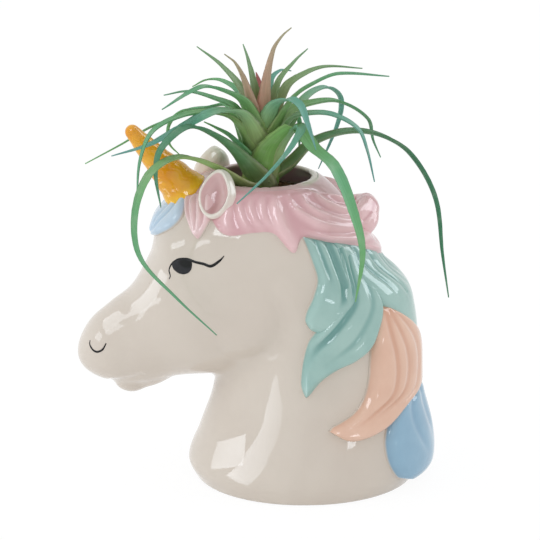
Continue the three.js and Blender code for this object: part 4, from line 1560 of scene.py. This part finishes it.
@dataclass
class Ears:
    """Pair of cupped ears, pointed above, with a pink hollow and a white rim whose white is painted lighter
    than the body's glaze, as painted light.
    """

    form: HeadForm
    place: tuple = (-41.4, -24.0, 144.8)
    half_width: float = 7.9
    half_height: float = 11.4
    lean: float = 26.0
    turn: float = 30.0
    lip_shift: float = 0.9
    narrowing: float = 0.3
    crease: tuple = (-1.6, 2.2)
    crease_lean: float = 0.08
    crease_top: tuple = (-2.0, 9.0)
    front_end: tuple = (0.45, 0.75)
    hollow_edge: tuple = (0.8, 0.88)
    root_band: tuple = (-10.5, -6.5)
    root_tint: float = 0.8
    profile: tuple = (
        (0.02, -1.2), (0.35, -1.0), (0.62, 0.3), (0.82, 2.5), (0.9, 3.4), (0.95, 3.4), (1.0, 2.3),
        (1.04, -0.4), (0.98, -2.8), (0.75, -4.6), (0.4, -5.4), (0.02, -5.6),
    )
    # painted light: the border white of rim and back is lighter than the body's white glaze, a lit copy of it
    glaze: TintedGlaze = TintedGlaze(
        "ear_glaze", srgb(226, 194, 193), srgb(196, 150, 152), srgb(240, 233, 223)
    )

    def shape(self) -> Shape:
        """Profile from the hollow over the lip to the back, carried round an egg-shaped outline.

        The profile gives share of the outline and depth; the outline narrows towards its top. A crease
        runs down the hollow, and the lip is set a little forward of the back.

        Returns:
            The closed left ear with point values fade and relief, pink in the hollow and at the root.
        """
        s = np.linspace(0.0, 1.0, 72)
        share, depth = (column[:, None] for column in curve(self.profile, s).T)
        turn = circle(80)
        narrow = 1.0 - self.narrowing * np.maximum(np.sin(turn), 0.0) ** 1.2
        front = 1.0 - smoothstep(*self.front_end, s)[:, None]
        x = share * self.half_width * np.cos(turn) * narrow - self.lip_shift * front
        z = share * self.half_height * np.sin(turn)
        middle, wide = self.crease
        crease = np.exp(-(((x - middle + self.crease_lean * z) / wide) ** 2))
        crease = crease * (1.0 - smoothstep(*self.crease_top, z))
        y = np.broadcast_to(-depth, x.shape)
        rings = np.stack([x, y, z], axis=-1) @ self.rotation().T + np.array(self.place)
        hollow = (1.0 - smoothstep(*self.hollow_edge, share)) * (s < 0.5)[:, None]
        root = self.root_tint * (1.0 - smoothstep(*self.root_band, z)) * (s > 0.5)[:, None]
        # painted shade: the crease down the hollow gets the deep pink
        relief = np.clip(0.85 - 0.8 * crease, 0.0, 1.0)
        return Shape.loft(rings, {"fade": np.maximum(hollow, root), "relief": relief}).turned_out()

    def rotation(self) -> Array:
        """Lean about X, then turn about Z.

        Returns:
            Matrix, shape (3, 3).
        """
        a, c = math.radians(-self.lean), math.radians(-self.turn)
        about_x = np.array([[1, 0, 0], [0, math.cos(a), -math.sin(a)], [0, math.sin(a), math.cos(a)]])
        about_z = np.array([[math.cos(c), -math.sin(c), 0], [math.sin(c), math.cos(c), 0], [0, 0, 1]])
        return about_z @ about_x

    def build(self) -> None:
        """Makes both ears and dresses them."""
        finish = self.glaze.make()
        for side, shape in self.shape().sides():
            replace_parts(shape.build(f"ear_cup_{side}", "pot", finish, "glaze_white"), f"ear_{side}")


@dataclass
class FacePaint:
    """Painted eye with its lash line and the arc of the nostril, on both sides."""

    form: HeadForm
    lid: tuple = (
        (-64.5, 105.8), (-64.0, 107.3), (-64.5, 109.4), (-63.4, 112.3), (-61.0, 114.7), (-58.6, 115.6),
        (-55.9, 115.8), (-52.8, 115.0), (-49.0, 114.5), (-45.6, 113.8), (-41.7, 116.7), (-39.7, 119.1),
    )
    eye_low: tuple = (
        (-63.2, 112.4), (-62.5, 110.6), (-60.5, 109.3), (-58.3, 109.0), (-56.0, 109.8), (-54.6, 111.4),
        (-54.1, 113.7), (-54.3, 115.2),
    )
    eye_high: tuple = ((-63.2, 112.4), (-61.0, 114.7), (-58.6, 115.6), (-55.9, 115.8), (-54.3, 115.2))
    pupil: tuple = (-56.6, 113.9)
    nostril: tuple = (
        (-101.3, 72.1), (-101.4, 70.2), (-99.8, 68.4), (-98.0, 68.2), (-95.6, 69.7), (-93.9, 72.7),
    )
    lid_widths: tuple = (0.25, 0.4, 0.45, 0.5, 0.55, 0.6, 0.65, 0.7, 0.6, 0.2)
    nostril_widths: tuple = (0.25, 0.45, 0.5, 0.45, 0.25)
    line_rise: tuple = (0.04, 0.2)
    line_sink: float = 0.6
    line_tone: float = 0.7
    eye_rise: tuple = (0.16, 0.1)
    eye_sink: float = 0.5
    pupil_reach: tuple = (3.2, 2.0)

    def line(self, path: tuple, widths: tuple, count: int) -> Shape:
        """Thin raised line along a path of the side view.

        The line is spread sideways from the path, dropped onto the skin and raised along the normal, by a
        half circle across its width over the height of its edges.

        Args:
            path: places (x, z).
            widths: half width from start to end, evenly spaced.
            count: points along the line.

        Returns:
            The closed line with point value pupil.
        """
        form = self.form
        s = np.linspace(0.0, 1.0, count)
        spots = form.side(curve(path, s))
        half = np.interp(s, np.linspace(0.0, 1.0, len(widths)), widths)
        _, normal = form.settle(form.depth_in, spots, rounds=2)
        side = unit(np.cross(unit(np.gradient(spots, axis=0)), normal))
        c = np.linspace(-1.0, 1.0, 7)
        spread = spots[:, None] + side[:, None] * (half[:, None] * c)[..., None]
        base, out = form.settle(form.depth_in, spread, rounds=4)
        low, high = self.line_rise
        rise = low + (high - low) * np.sqrt(np.maximum(1.0 - c**2, 0.0))
        rings = there_and_back(base + out * rise[:, None], base - out * self.line_sink)
        return Shape.loft(rings, {"pupil": np.full(rings.shape[:2], self.line_tone)}).turned_out()

    def disc(self) -> Shape:
        """Half disc of the eye: rows between the lower edge and the lid, laid on the skin.

        Returns:
            The closed disc with point value pupil, 1 at the middle of the pupil.
        """
        s = np.linspace(0.0, 1.0, 40)
        low, high = curve(self.eye_low, s), curve(self.eye_high, s)
        v = np.linspace(0.0, 1.0, 24)
        flat = low[:, None] + (high - low)[:, None] * v[:, None]
        base, out = self.form.settle(self.form.depth_in, self.form.side(flat), rounds=3)
        low, swell = self.eye_rise
        rise = low + swell * np.sqrt(4.0 * v * (1.0 - v))
        rings = there_and_back(base + out * rise[:, None], base - out * self.eye_sink)
        away = np.linalg.norm((flat - np.array(self.pupil)) / self.pupil_reach, axis=-1)
        dark = 1.0 - 0.5 * np.clip(away, 0.0, 2.0)
        return Shape.loft(rings, {"pupil": there_and_back(dark, dark)}).turned_out()

    def build(self) -> None:
        """Makes the painted lines of both sides and dresses them."""
        finish = EyePaint().make()
        eye = Shape.join([self.disc(), self.line(self.lid, self.lid_widths, 90)])
        arc = self.line(self.nostril, self.nostril_widths, 40)
        for name, shape in (("eye", eye), ("nostril", arc)):
            for side, twin in shape.sides():
                twin.build(f"painted_{name}_{side}", "pot", finish)


@dataclass(frozen=True)
class Leaf:
    """Strap leaf: root height over the rim, width, tone and route from the stem axis at rim height."""

    root: float
    width: float
    tone: Tone
    route: tuple
    sheath: float = 0.95
    slim: float = 2.8
    clasp: float = 7.0
    seat: tuple = (0.3, 1.2)
    sheath_run: float = 26.0
    channel_run: float = 20.0
    strap_half: float = 0.62
    ragged: float = 0.03
    thick: float = 1.25
    thinning: float = 0.75
    edge_thin: float = 0.8
    waist: float = 0.12
    point: float = 0.04
    channel: tuple = (0.55, 0.75)
    steps: int = 64
    columns: int = 13

    def shape(self, stem_radius: float, lowest: float, origin: Array, seed: int) -> Shape:
        """Channel carried along the route: a broad clasping sheath that narrows to a strap and a point.

        Half width is half the strap times a taper plus a bell of the sheath near the root, with a
        slightly ragged edge. Across, the channel is an arc that flattens away from the root.

        Args:
            stem_radius: radius of the stem at the root.
            lowest: height over the rim under which no leaf starts.
            origin: middle of the mouth at rim height.
            seed: seed of the ragged edge.

        Returns:
            The closed leaf with places along and across as its surface map.
        """
        first = np.array([*self.route[0][:2], 0.0])
        heading = unit(first)
        start = heading * (stem_radius + self.seat[0]) + UP * max(self.root - self.clasp, lowest)
        rise = heading * (stem_radius + self.seat[1]) + UP * self.root
        points = np.vstack([start, rise, np.array(self.route, float)])
        t = np.linspace(0.0, 1.0, self.steps)
        path = curve(points, t)
        run = lengths_along(path)
        tangent = unit(np.gradient(path, axis=0))
        flat_side = np.cross(UP, heading)
        side = unit(flat_side - tangent * (tangent @ flat_side)[:, None])
        normal = np.cross(tangent, side)
        rng = np.random.default_rng(seed)
        taper = (1.0 - t**self.slim) * (1.0 - self.waist + self.waist * np.cos(2.2 * t)) + self.point
        sheath = self.sheath * self.width * np.exp(-((run / self.sheath_run) ** 2))
        half = self.strap_half * self.width * taper + sheath * (1.0 - t) ** 0.5
        v = np.linspace(-1.0, 1.0, self.columns)
        rough = rng.normal(size=(len(t), 2)) * self.ragged
        ragged = 1.0 + np.where(v > 0, rough[:, :1], rough[:, 1:]) * np.abs(v) ** 3
        flat, clasped = self.channel
        bend = (flat + clasped * np.exp(-((run / self.channel_run) ** 2)))[:, None]
        across = half[:, None] * np.sin(bend * v) / np.sin(bend) * ragged
        lift = half[:, None] * (1.0 - np.cos(bend * v)) / np.sin(bend)
        thick = (self.thick - self.thinning * t)[:, None] * (1.0 - self.edge_thin * v**2)
        top = path[:, None] + side[:, None] * across[..., None] + normal[:, None] * lift[..., None]
        under = top - normal[:, None] * thick[..., None]
        rings = np.concatenate([top, under[:, -2:0:-1]], axis=1) + origin
        place = np.broadcast_to(t[:, None], across.shape)
        wide = np.broadcast_to(0.5 + 0.5 * v, across.shape)
        upper = np.stack([place, wide], axis=-1)
        uv = np.concatenate([upper, upper[:, -2:0:-1]], axis=1)
        return Shape.loft(rings, uv=uv).turned_out()


@dataclass
class Plant:
    """Artificial plant: a peg-like stem and its strap leaves."""

    form: HeadForm
    stem_top: float = 2.0
    ring_depth: float = 0.02
    ring_pitch: float = 3.2
    clear: float = 0.8
    leaves: tuple = (
        Leaf(22, 4, Tone.BLUSH, ((2, -3, 42), (5, -6, 60), (9, -7, 67), (13, -8, 71))),
        Leaf(18, 4, Tone.OLIVE, ((8, 4, 42), (16, 7, 52), (22, 10, 57))),
        Leaf(23, 3, Tone.TEAL, ((5, 10, 42), (10, 14, 46), (15, 17, 45))),
        Leaf(14, 4.5, Tone.OLIVE, ((12, 10, 38), (22, 16, 44), (32, 20, 46), (49, 24, 44))),
        Leaf(14, 5, Tone.GREEN, ((14, -5, 37), (25, -6, 45), (35, -8, 49), (58, -10, 48))),
        Leaf(1, 4.5, Tone.TEAL, ((20, 18, 29), (27, 26, 33), (34, 32, 33), (40, 38, 26), (39, 40, 14),
            (30, 40, -9))),
        Leaf(11, 5, Tone.GREEN, ((14, 8, 27), (25, 10, 31), (37, 12, 31), (51, 18, 21), (54, 21, 10),
            (58, 22, 1))),
        Leaf(7, 5, Tone.TEAL, ((13, -5, 27), (22, -10, 31), (32, -14, 31), (43, -17, 25), (47, -18, 16),
            (51, -18, 0))),
        Leaf(-4, 6, Tone.DARK, ((14, 5, 2), (24, 7, 12), (40, 9, 17), (56, 10, 15), (70, 10, 6),
            (82, 8, -15), (86, 6, -43), (89, 2, -63)), 0.2),
        Leaf(-4, 6.5, Tone.BRIGHT, ((4, -8, 13), (10, -13, 23), (15, -14, 25), (22, -20, 17),
            (31, -29, 10), (39, -37, -9), (43, -41, -27), (40, -43, -50))),
        Leaf(-4, 5, Tone.TEAL, ((9, -6, 13), (14, -13, 24), (16, -22, 27), (10, -30, 19), (-1, -36, 8),
            (-14, -41, -3)), 0.3),
        Leaf(17, 5, Tone.TEAL, ((5, -10, 34), (11, -15, 39), (16, -19, 37), (19, -23, 30), (23, -27, 18))),
        Leaf(7, 3.5, Tone.GREEN, ((11, 15, 25), (18, 18, 22), (19, 20, 12), (19, 21, 3))),
        Leaf(20, 4, Tone.OLIVE, ((-9, 7, 38), (-18, 12, 49), (-29, 18, 57))),
        Leaf(20, 4, Tone.BLUSH, ((-8, -7, 44), (-13, -13, 56), (-18, -16, 61))),
        Leaf(26, 3.5, Tone.OLIVE, ((-4, 3, 42), (-6, 6, 53), (-8, 8, 60))),
        Leaf(27, 3, Tone.RED, ((-1, 6, 37), (-1, 9, 42), (-2, 11, 46))),
        Leaf(16, 4, Tone.BRIGHT, ((-9, 11, 35), (-17, 19, 40), (-24, 23, 40), (-31, 26, 36))),
        Leaf(15, 5.5, Tone.GREEN, ((-9, -9, 36), (-20, -14, 44), (-29, -18, 46), (-47, -22, 37))),
        Leaf(11, 4.5, Tone.GREEN, ((-12, 4, 30), (-22, 6, 35), (-34, 8, 38), (-45, 10, 36))),
        Leaf(-2, 4.5, Tone.BRIGHT, ((-14, 17, 28), (-26, 20, 27), (-36, 22, 25), (-42, 24, 18),
            (-42, 24, 9), (-37, 24, 3))),
        Leaf(12, 5, Tone.TEAL, ((-10, -14, 32), (-22, -16, 34), (-38, -14, 26), (-53, -13, 18),
            (-70, -12, 13))),
        Leaf(9, 5, Tone.GREEN, ((-13, -5, 27), (-23, -9, 32), (-37, -14, 32), (-51, -19, 26),
            (-57, -21, 13), (-59, -22, -5))),
        Leaf(5, 3.5, Tone.BRIGHT, ((-13, 7, 25), (-28, 11, 27), (-49, 13, 21), (-65, 13, 12),
            (-82, 13, 3))),
        Leaf(-4, 5.5, Tone.DARK, ((-13, -12, 13), (-23, -17, 23), (-35, -24, 29), (-47, -26, 20),
            (-50, -26, 9), (-48, -23, -9))),
        Leaf(-5.4, 5.0, Tone.GREEN, ((-9, -9, -4), (-23, -16, 8), (-39, -24, 15), (-53, -35, 10),
            (-60, -41, -7), (-58, -45, -26), (-42, -47, -45),
            (-24, -48, -63)), 0.35, 1.9),
        Leaf(4, 5, Tone.BRIGHT, ((-14, -3, 18), (-22, -5, 24), (-27, -6, 27))),
    )

    def radius_at(self, rise: float) -> float:
        """Radius of the stem, which tapers evenly from the rim to its top.

        Args:
            rise: height over the rim.

        Returns:
            The radius.
        """
        low, high = frame_box("plant_stem")
        wide = (high[0] - low[0]) / 2.0
        share = min(max(rise / (high[2] - self.form.rim - self.stem_top), 0.0), 1.0)
        return float(wide + (self.stem_top - wide) * share)

    def stem(self) -> Shape:
        """Profile of the peg turned about its axis, with faint rings where leaves were moulded on.

        Returns:
            The closed stem.
        """
        low, high = frame_box("plant_stem")[:, 2]
        wide = self.radius_at(0.0)
        knots = np.array([low, low + 0.8, low + 4.0, self.form.rim, high - self.stem_top, high - 0.4, high])
        radii = np.array([0.8, 2.6, wide, wide, self.stem_top, 1.3, 0.4])
        z = np.linspace(low, high, 120)
        radius = np.interp(z, knots, radii)
        radius = radius * (1.0 + self.ring_depth * np.cos(2.0 * math.pi * z / self.ring_pitch))
        turn = circle(36)
        rings = upright(self.form.mouth_x, radius[:, None], turn, z)
        uv = np.stack(np.meshgrid(np.linspace(0.0, 0.3, len(z)), turn / 6.3, indexing="ij"), axis=-1)
        return Shape.loft(rings, uv=uv).turned_out()

    def build(self) -> None:
        """Makes the stem and the leaves and dresses them."""
        finishes = {tone: tone.value.make() for tone in Tone}
        origin = np.array([self.form.mouth_x, 0.0, self.form.rim])
        lowest = frame_box("moss_pad")[1, 2] - self.form.rim + self.clear
        stem = self.stem().build("plant_peg", "plant", finishes[Tone.GREEN], Tone.GREEN.slot)
        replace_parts(stem, "plant_stem")
        for number, leaf in enumerate(self.leaves, 1):
            shape = leaf.shape(self.radius_at(leaf.root), lowest, origin, number)
            piece = shape.build(f"strap_leaf_{number:02d}", "plant", finishes[leaf.tone], leaf.tone.slot)
            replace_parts(piece, f"leaf_{number:02d}")


@dataclass
class Filling:
    """Foam block that stands in the pot and the fibre pad over it."""

    form: HeadForm
    dome: float = 1.2
    fibres: int = 420
    fibre_length: tuple = (2.0, 4.5)
    fibre_bow: float = 1.4
    fibre_hump: tuple = (0.2, 1.1)
    fibre_radius: float = 0.16
    fibre_seed: int = 11
    edge_gap: float = 2.0
    foam_edge: float = 0.8
    foam_rough: float = 0.14
    foam_lumps: tuple = (5.0, 3)
    pad_lumps: tuple = ((0.5, 4.5, 5), (0.3, 2.0, 6))

    def foam(self) -> Shape:
        """Rounded square carried up the block, its faces slightly uneven.

        Returns:
            The closed block.
        """
        low, high = frame_box("foam_block")
        z = np.linspace(low[2], high[2], 90)
        turn = circle(96)
        square = (np.abs(np.cos(turn)) ** 10 + np.abs(np.sin(turn)) ** 10) ** -0.1
        ends = np.minimum(z - low[2], high[2] - z)
        draw = (high[0] - low[0]) / 2.0
        draw = draw - self.foam_edge * np.clip(1.0 - ends / self.foam_edge, 0.0, 1.0) ** 2
        rings = upright(self.form.mouth_x, draw[:, None] * square, turn, z)
        middle = np.array([self.form.mouth_x, 0.0, 0.0])
        inward = unit((middle - rings) * [1, 1, 0])
        rough = self.foam_rough + self.foam_rough * ripple(rings, *self.foam_lumps)
        rings = rings + inward * rough[..., None]
        return Shape.loft(rings).turned_out()

    def pad(self) -> Shape:
        """Lumpy round mat: profile from the underside over the edge to the domed top, with ripples.

        Returns:
            The closed mat.
        """
        (left, front, low), (right, back, high) = frame_box("moss_pad")
        edge = high - self.dome
        profile = (
            (0.03, low), (0.9, low), (0.99, low + 3.0), (0.97, edge - 0.6), (0.8, edge + 0.6),
            (0.45, edge + 0.9), (0.03, edge + 0.9),
        )
        read = evenly(profile, np.linspace(0.0, 1.0, 70))
        turn = circle(120)
        x = self.form.mouth_x + read[:, :1] * (right - left) / 2.0 * np.cos(turn)
        y = read[:, :1] * (back - front) / 2.0 * np.sin(turn)
        rings = np.stack([x, y, np.broadcast_to(read[:, 1:], x.shape)], axis=-1)
        lump = sum(depth * ripple(rings, pitch, seed) for depth, pitch, seed in self.pad_lumps)
        top = smoothstep(edge - 2.0, edge, rings[..., 2])
        rings[..., 2] += lump * top
        return Shape.loft(rings).turned_out()

    def strands(self) -> Shape:
        """Coir fibres on the mat: thin three-sided tubes along short arcs in fixed random directions.

        Returns:
            All the fibres as one mesh.
        """
        form = self.form
        rng = np.random.default_rng(self.fibre_seed)
        count = self.fibres
        reach = np.sqrt(rng.uniform(0.05, 0.86, count))
        turn = rng.uniform(0.0, 2.0 * math.pi, count)
        middle = np.stack(
            [
                form.mouth_x + reach * (form.mouth_half_length - self.edge_gap) * np.cos(turn),
                reach * (form.mouth_half_width - self.edge_gap) * np.sin(turn),
                np.full(count, frame_box("moss_pad")[1, 2] - self.dome + 0.7),
            ],
            axis=-1,
        )
        aim = rng.uniform(0.0, 2.0 * math.pi, count)
        along = np.stack([np.cos(aim), np.sin(aim), np.zeros(count)], axis=-1)
        across = np.stack([-np.sin(aim), np.cos(aim), np.zeros(count)], axis=-1)
        s = np.linspace(-1.0, 1.0, 7)
        length = rng.uniform(*self.fibre_length, count)
        bow = rng.uniform(-self.fibre_bow, self.fibre_bow, count)
        hump = rng.uniform(*self.fibre_hump, count)
        path = middle[:, None] + along[:, None] * (length[:, None] * s)[..., None]
        path = path + across[:, None] * (bow[:, None] * (1.0 - s**2))[..., None]
        path[..., 2] += hump[:, None] * (1.0 - s**2) - 0.3
        pull = np.minimum(1.0, 0.97 / np.maximum(form.oval(path, self.edge_gap / 2.0), 1e-6))
        path[..., 0] = form.mouth_x + (path[..., 0] - form.mouth_x) * pull
        path[..., 1] *= pull
        around = circle(3)
        thin = self.fibre_radius * np.sqrt(np.clip(1.02 - s**2, 0.05, 1.0))
        ring = across[:, None, None] * np.cos(around)[:, None] + UP * np.sin(around)[:, None]
        tubes = path[:, :, None] + ring * thin[:, None, None]
        return Shape.join([Shape.loft(tube).turned_out() for tube in tubes])

    def build(self) -> None:
        """Makes the block, the mat and its fibres and dresses them."""
        foam = FibreFinish("floral_foam", srgb(70, 92, 62), srgb(98, 120, 84), 900.0).make()
        moss = FibreFinish("coir_fibre", srgb(58, 42, 28), srgb(118, 88, 58), 500.0).make()
        block = self.foam().build("foam_core", "foam", foam, "foam")
        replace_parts(block, "foam_block")
        mat = Shape.join([self.pad(), self.strands()]).build("coir_mat", "foam", moss, "moss")
        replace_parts(mat, "moss_pad")


class Rays(Enum):
    """What a lamp does: light surfaces softly, or show as a reflection in the glaze."""

    SOFT = (True, False)
    GLOSS = (False, True)


@dataclass
class Studio:
    """Pale floor, white surround, soft lamps and the camera."""

    target: tuple = (-0.0162, 0.0, 0.101)
    azimuth: float = -4.0
    elevation: float = 17.0
    distance: float = 1.4
    lens: float = 198.6
    sensor: float = 36.0
    clip: tuple = (0.05, 20.0)
    lamp_distance: float = 1.3
    daylight: tuple = (0.92, 0.99, 1.06)
    white: tuple = (1.0, 1.0, 1.0)
    soft_light: float = 0.82
    floor_reach: float = 6.0
    floor_drop: float = 0.0002
    floor_white: tuple = (0.98, 0.98, 0.98)
    floor_glow: float = 1.03
    floor_share: float = 0.9

    @staticmethod
    def heading(azimuth: float, elevation: float) -> Vector:
        """Direction away from the object: degrees round from the front and above the floor."""
        a, e = math.radians(azimuth), math.radians(elevation)
        return Vector((math.sin(a) * math.cos(e), -math.cos(a) * math.cos(e), math.sin(e)))

    def camera(self) -> None:
        """Camera at the height and side from which the planter is seen."""
        data = bpy.data.cameras.new("camera")
        data.lens = self.lens
        data.sensor_width = self.sensor
        data.clip_start, data.clip_end = self.clip
        camera = put("camera", data)
        back = self.heading(self.azimuth, self.elevation)
        camera.location = Vector(self.target) + back * self.distance
        camera.rotation_mode = "QUATERNION"
        camera.rotation_quaternion = (-back).to_track_quat("-Z", "Y")
        bpy.context.scene.camera = camera

    def lamp(
        self,
        name: str,
        place: Vector,
        aim: Vector,
        size: tuple,
        glow: float,
        rays: Rays,
        roll: float = 0.0,
        spread: float = 180.0,
    ) -> None:
        """Oblong soft lamp.

        Args:
            name: name of the lamp.
            place: its middle in metres.
            aim: direction that it faces.
            size: width and height in metres.
            glow: brightness of its face, where a white page in plain light is about 1.
            rays: whether it lights softly or shows in the glaze.
            roll: degrees turned about its aim.
            spread: degrees over which its light fans out.
        """
        data = bpy.data.lights.new(name, "AREA")
        data.shape = "RECTANGLE"
        data.size, data.size_y = size
        data.spread = math.radians(spread)
        data.energy = glow * math.pi * size[0] * size[1]
        data.color = self.daylight
        lamp = put(name, data)
        lamp.location = place
        lamp.rotation_mode = "QUATERNION"
        lamp.rotation_quaternion = aim.to_track_quat("-Z", "Y") @ Quaternion((0, 0, 1), math.radians(roll))
        lamp.visible_camera = False
        lamp.visible_diffuse, lamp.visible_glossy = rays.value

    def window(self, name: str, azimuth: float, elevation: float, *settings: object) -> None:
        """Lamp in a direction, at the lamp distance, that faces the object.

        Args:
            name: name of the lamp.
            azimuth: degrees round from the front, towards the right.
            elevation: degrees above the floor.
            settings: size, glow and rays of the lamp.
        """
        away = self.heading(azimuth, elevation)
        self.lamp(name, Vector(self.target) + away * self.lamp_distance, -away, *settings)

    def card(self, name: str, azimuth: float, reach: float, middle: tuple, *settings: object) -> None:
        """Small bright card close to the glaze, so that only the part of the head beside it mirrors it.

        Args:
            name: name of the card.
            azimuth: degrees round from the front, towards the right, of the line that it stands on.
            reach: metres along that line from the middle of the foot.
            middle: metres sideways from the line and over the floor.
            settings: size, glow, rays, roll and spread of the lamp.
        """
        away = self.heading(azimuth, 0.0)
        place = away * reach + Vector((-away.y, away.x, 0.0)) * middle[0] + Vector((0.0, 0.0, middle[1]))
        self.lamp(name, place, -away, *settings)

    def floor(self) -> None:
        """Wide pale floor, near white to the camera, that keeps the shadow."""
        ends = np.array([-self.floor_reach, self.floor_reach])
        x, y = np.meshgrid(ends, ends, indexing="ij")
        points = np.stack([x, y, np.full_like(x, -self.floor_drop)], axis=-1).reshape(-1, 3)
        mesh = bpy.data.meshes.new("floor")
        mesh.from_pydata(points.tolist(), [], Shape.grid_faces(2, 2, False)[:, ::-1].tolist())
        n = Nodes("floor_white")
        n.feed(self.floor_white, n.shader.inputs["Base Color"])
        n.feed(0.9, n.shader.inputs["Roughness"])
        glow = n.add("ShaderNodeEmission", Strength=self.floor_glow, Color=self.white)
        path = n.add("ShaderNodeLightPath").outputs
        seen = n.combine("MAXIMUM", path["Is Camera Ray"], path["Is Transmission Ray"])
        blend = n.add("ShaderNodeMixShader", Fac=n.combine("MULTIPLY", seen, self.floor_share))
        n.feed(n.shader.outputs[0], blend.inputs[1])
        n.feed(glow.outputs[0], blend.inputs[2])
        n.feed(blend.outputs[0], n.tree.nodes["Material Output"].inputs["Surface"])
        mesh.materials.append(n.material)
        plane = put("floor", mesh)
        plane.visible_glossy = False

    def world(self) -> None:
        """White surround for the camera and in the glaze, dimmer soft light for everything else."""
        world = bpy.data.worlds.new("surround")
        bpy.context.scene.world = world
        world.use_nodes = True
        tree = world.node_tree
        soft = tree.nodes["Background"]
        white = tree.nodes.new("ShaderNodeBackground")
        for shade, strength in ((soft, self.soft_light), (white, 1.0)):
            shade.inputs["Color"].default_value = (*self.white, 1.0)
            shade.inputs["Strength"].default_value = strength
        path = tree.nodes.new("ShaderNodeLightPath")
        blend = tree.nodes.new("ShaderNodeMixShader")
        seen = path.outputs["Is Camera Ray"]
        for ray in ("Is Glossy Ray", "Is Transmission Ray"):
            either = tree.nodes.new("ShaderNodeMath")
            either.operation = "MAXIMUM"
            tree.links.new(seen, either.inputs[0])
            tree.links.new(path.outputs[ray], either.inputs[1])
            seen = either.outputs[0]
        tree.links.new(seen, blend.inputs[0])
        tree.links.new(soft.outputs[0], blend.inputs[1])
        tree.links.new(white.outputs[0], blend.inputs[2])
        tree.links.new(blend.outputs[0], tree.nodes["World Output"].inputs["Surface"])

    def build(self) -> None:
        """Sets up everything that is not the object."""
        bpy.context.scene.view_settings.view_transform = "Standard"
        self.camera()
        self.floor()
        self.world()
        self.window("window_side", -82.0, 13.0, (0.46, 0.42), 3.8, Rays.SOFT)
        self.card("card_chest", -75.0, 0.062, (0.045, 0.0275), (0.053, 0.021), 1.3, Rays.GLOSS, 58.0, 96.0)
        self.card("card_neck", -75.0, 0.062, (0.0175, 0.0235), (0.026, 0.015), 1.3, Rays.GLOSS, 24.0, 96.0)
        self.card("card_bridge", -95.0, 0.115, (0.0165, 0.1036), (0.025, 0.0132), 2.8, Rays.GLOSS)
        self.card("card_cheek", -95.0, 0.115, (0.034, 0.099), (0.012, 0.0045), 2.8, Rays.GLOSS)
        self.card("card_nostril", -95.0, 0.115, (0.0245, 0.085), (0.011, 0.010), 2.8, Rays.GLOSS)
        self.card("card_brow", -75.0, 0.080, (0.005, 0.1255), (0.012, 0.004), 3.6, Rays.GLOSS, 28.0)
        self.card("card_temple", -75.0, 0.080, (0.0258, 0.129), (0.011, 0.0045), 3.6, Rays.GLOSS, 26.0)
        self.window("skylight", -36.0, 39.0, (0.62, 0.52), 6.5, Rays.GLOSS)
        self.window("far_lamp", 34.0, 0.7, (0.2, 0.07), 6.5, Rays.GLOSS)
        self.window("softbox_rear", 104.0, 36.0, (0.6, 1.3), 4.0, Rays.GLOSS)


def main() -> None:
    """Builds the planter piece by piece."""
    logging.basicConfig(level=logging.INFO, format="%(name)s %(message)s")
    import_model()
    form = HeadForm.from_frame()
    Studio().build()
    for part in (Pot(form), Mane(form), Horn(form), Ears(form), FacePaint(form), Plant(form), Filling(form)):
        part.build()
    bpy.context.view_layer.update()


if __name__ == "__main__":
    main()
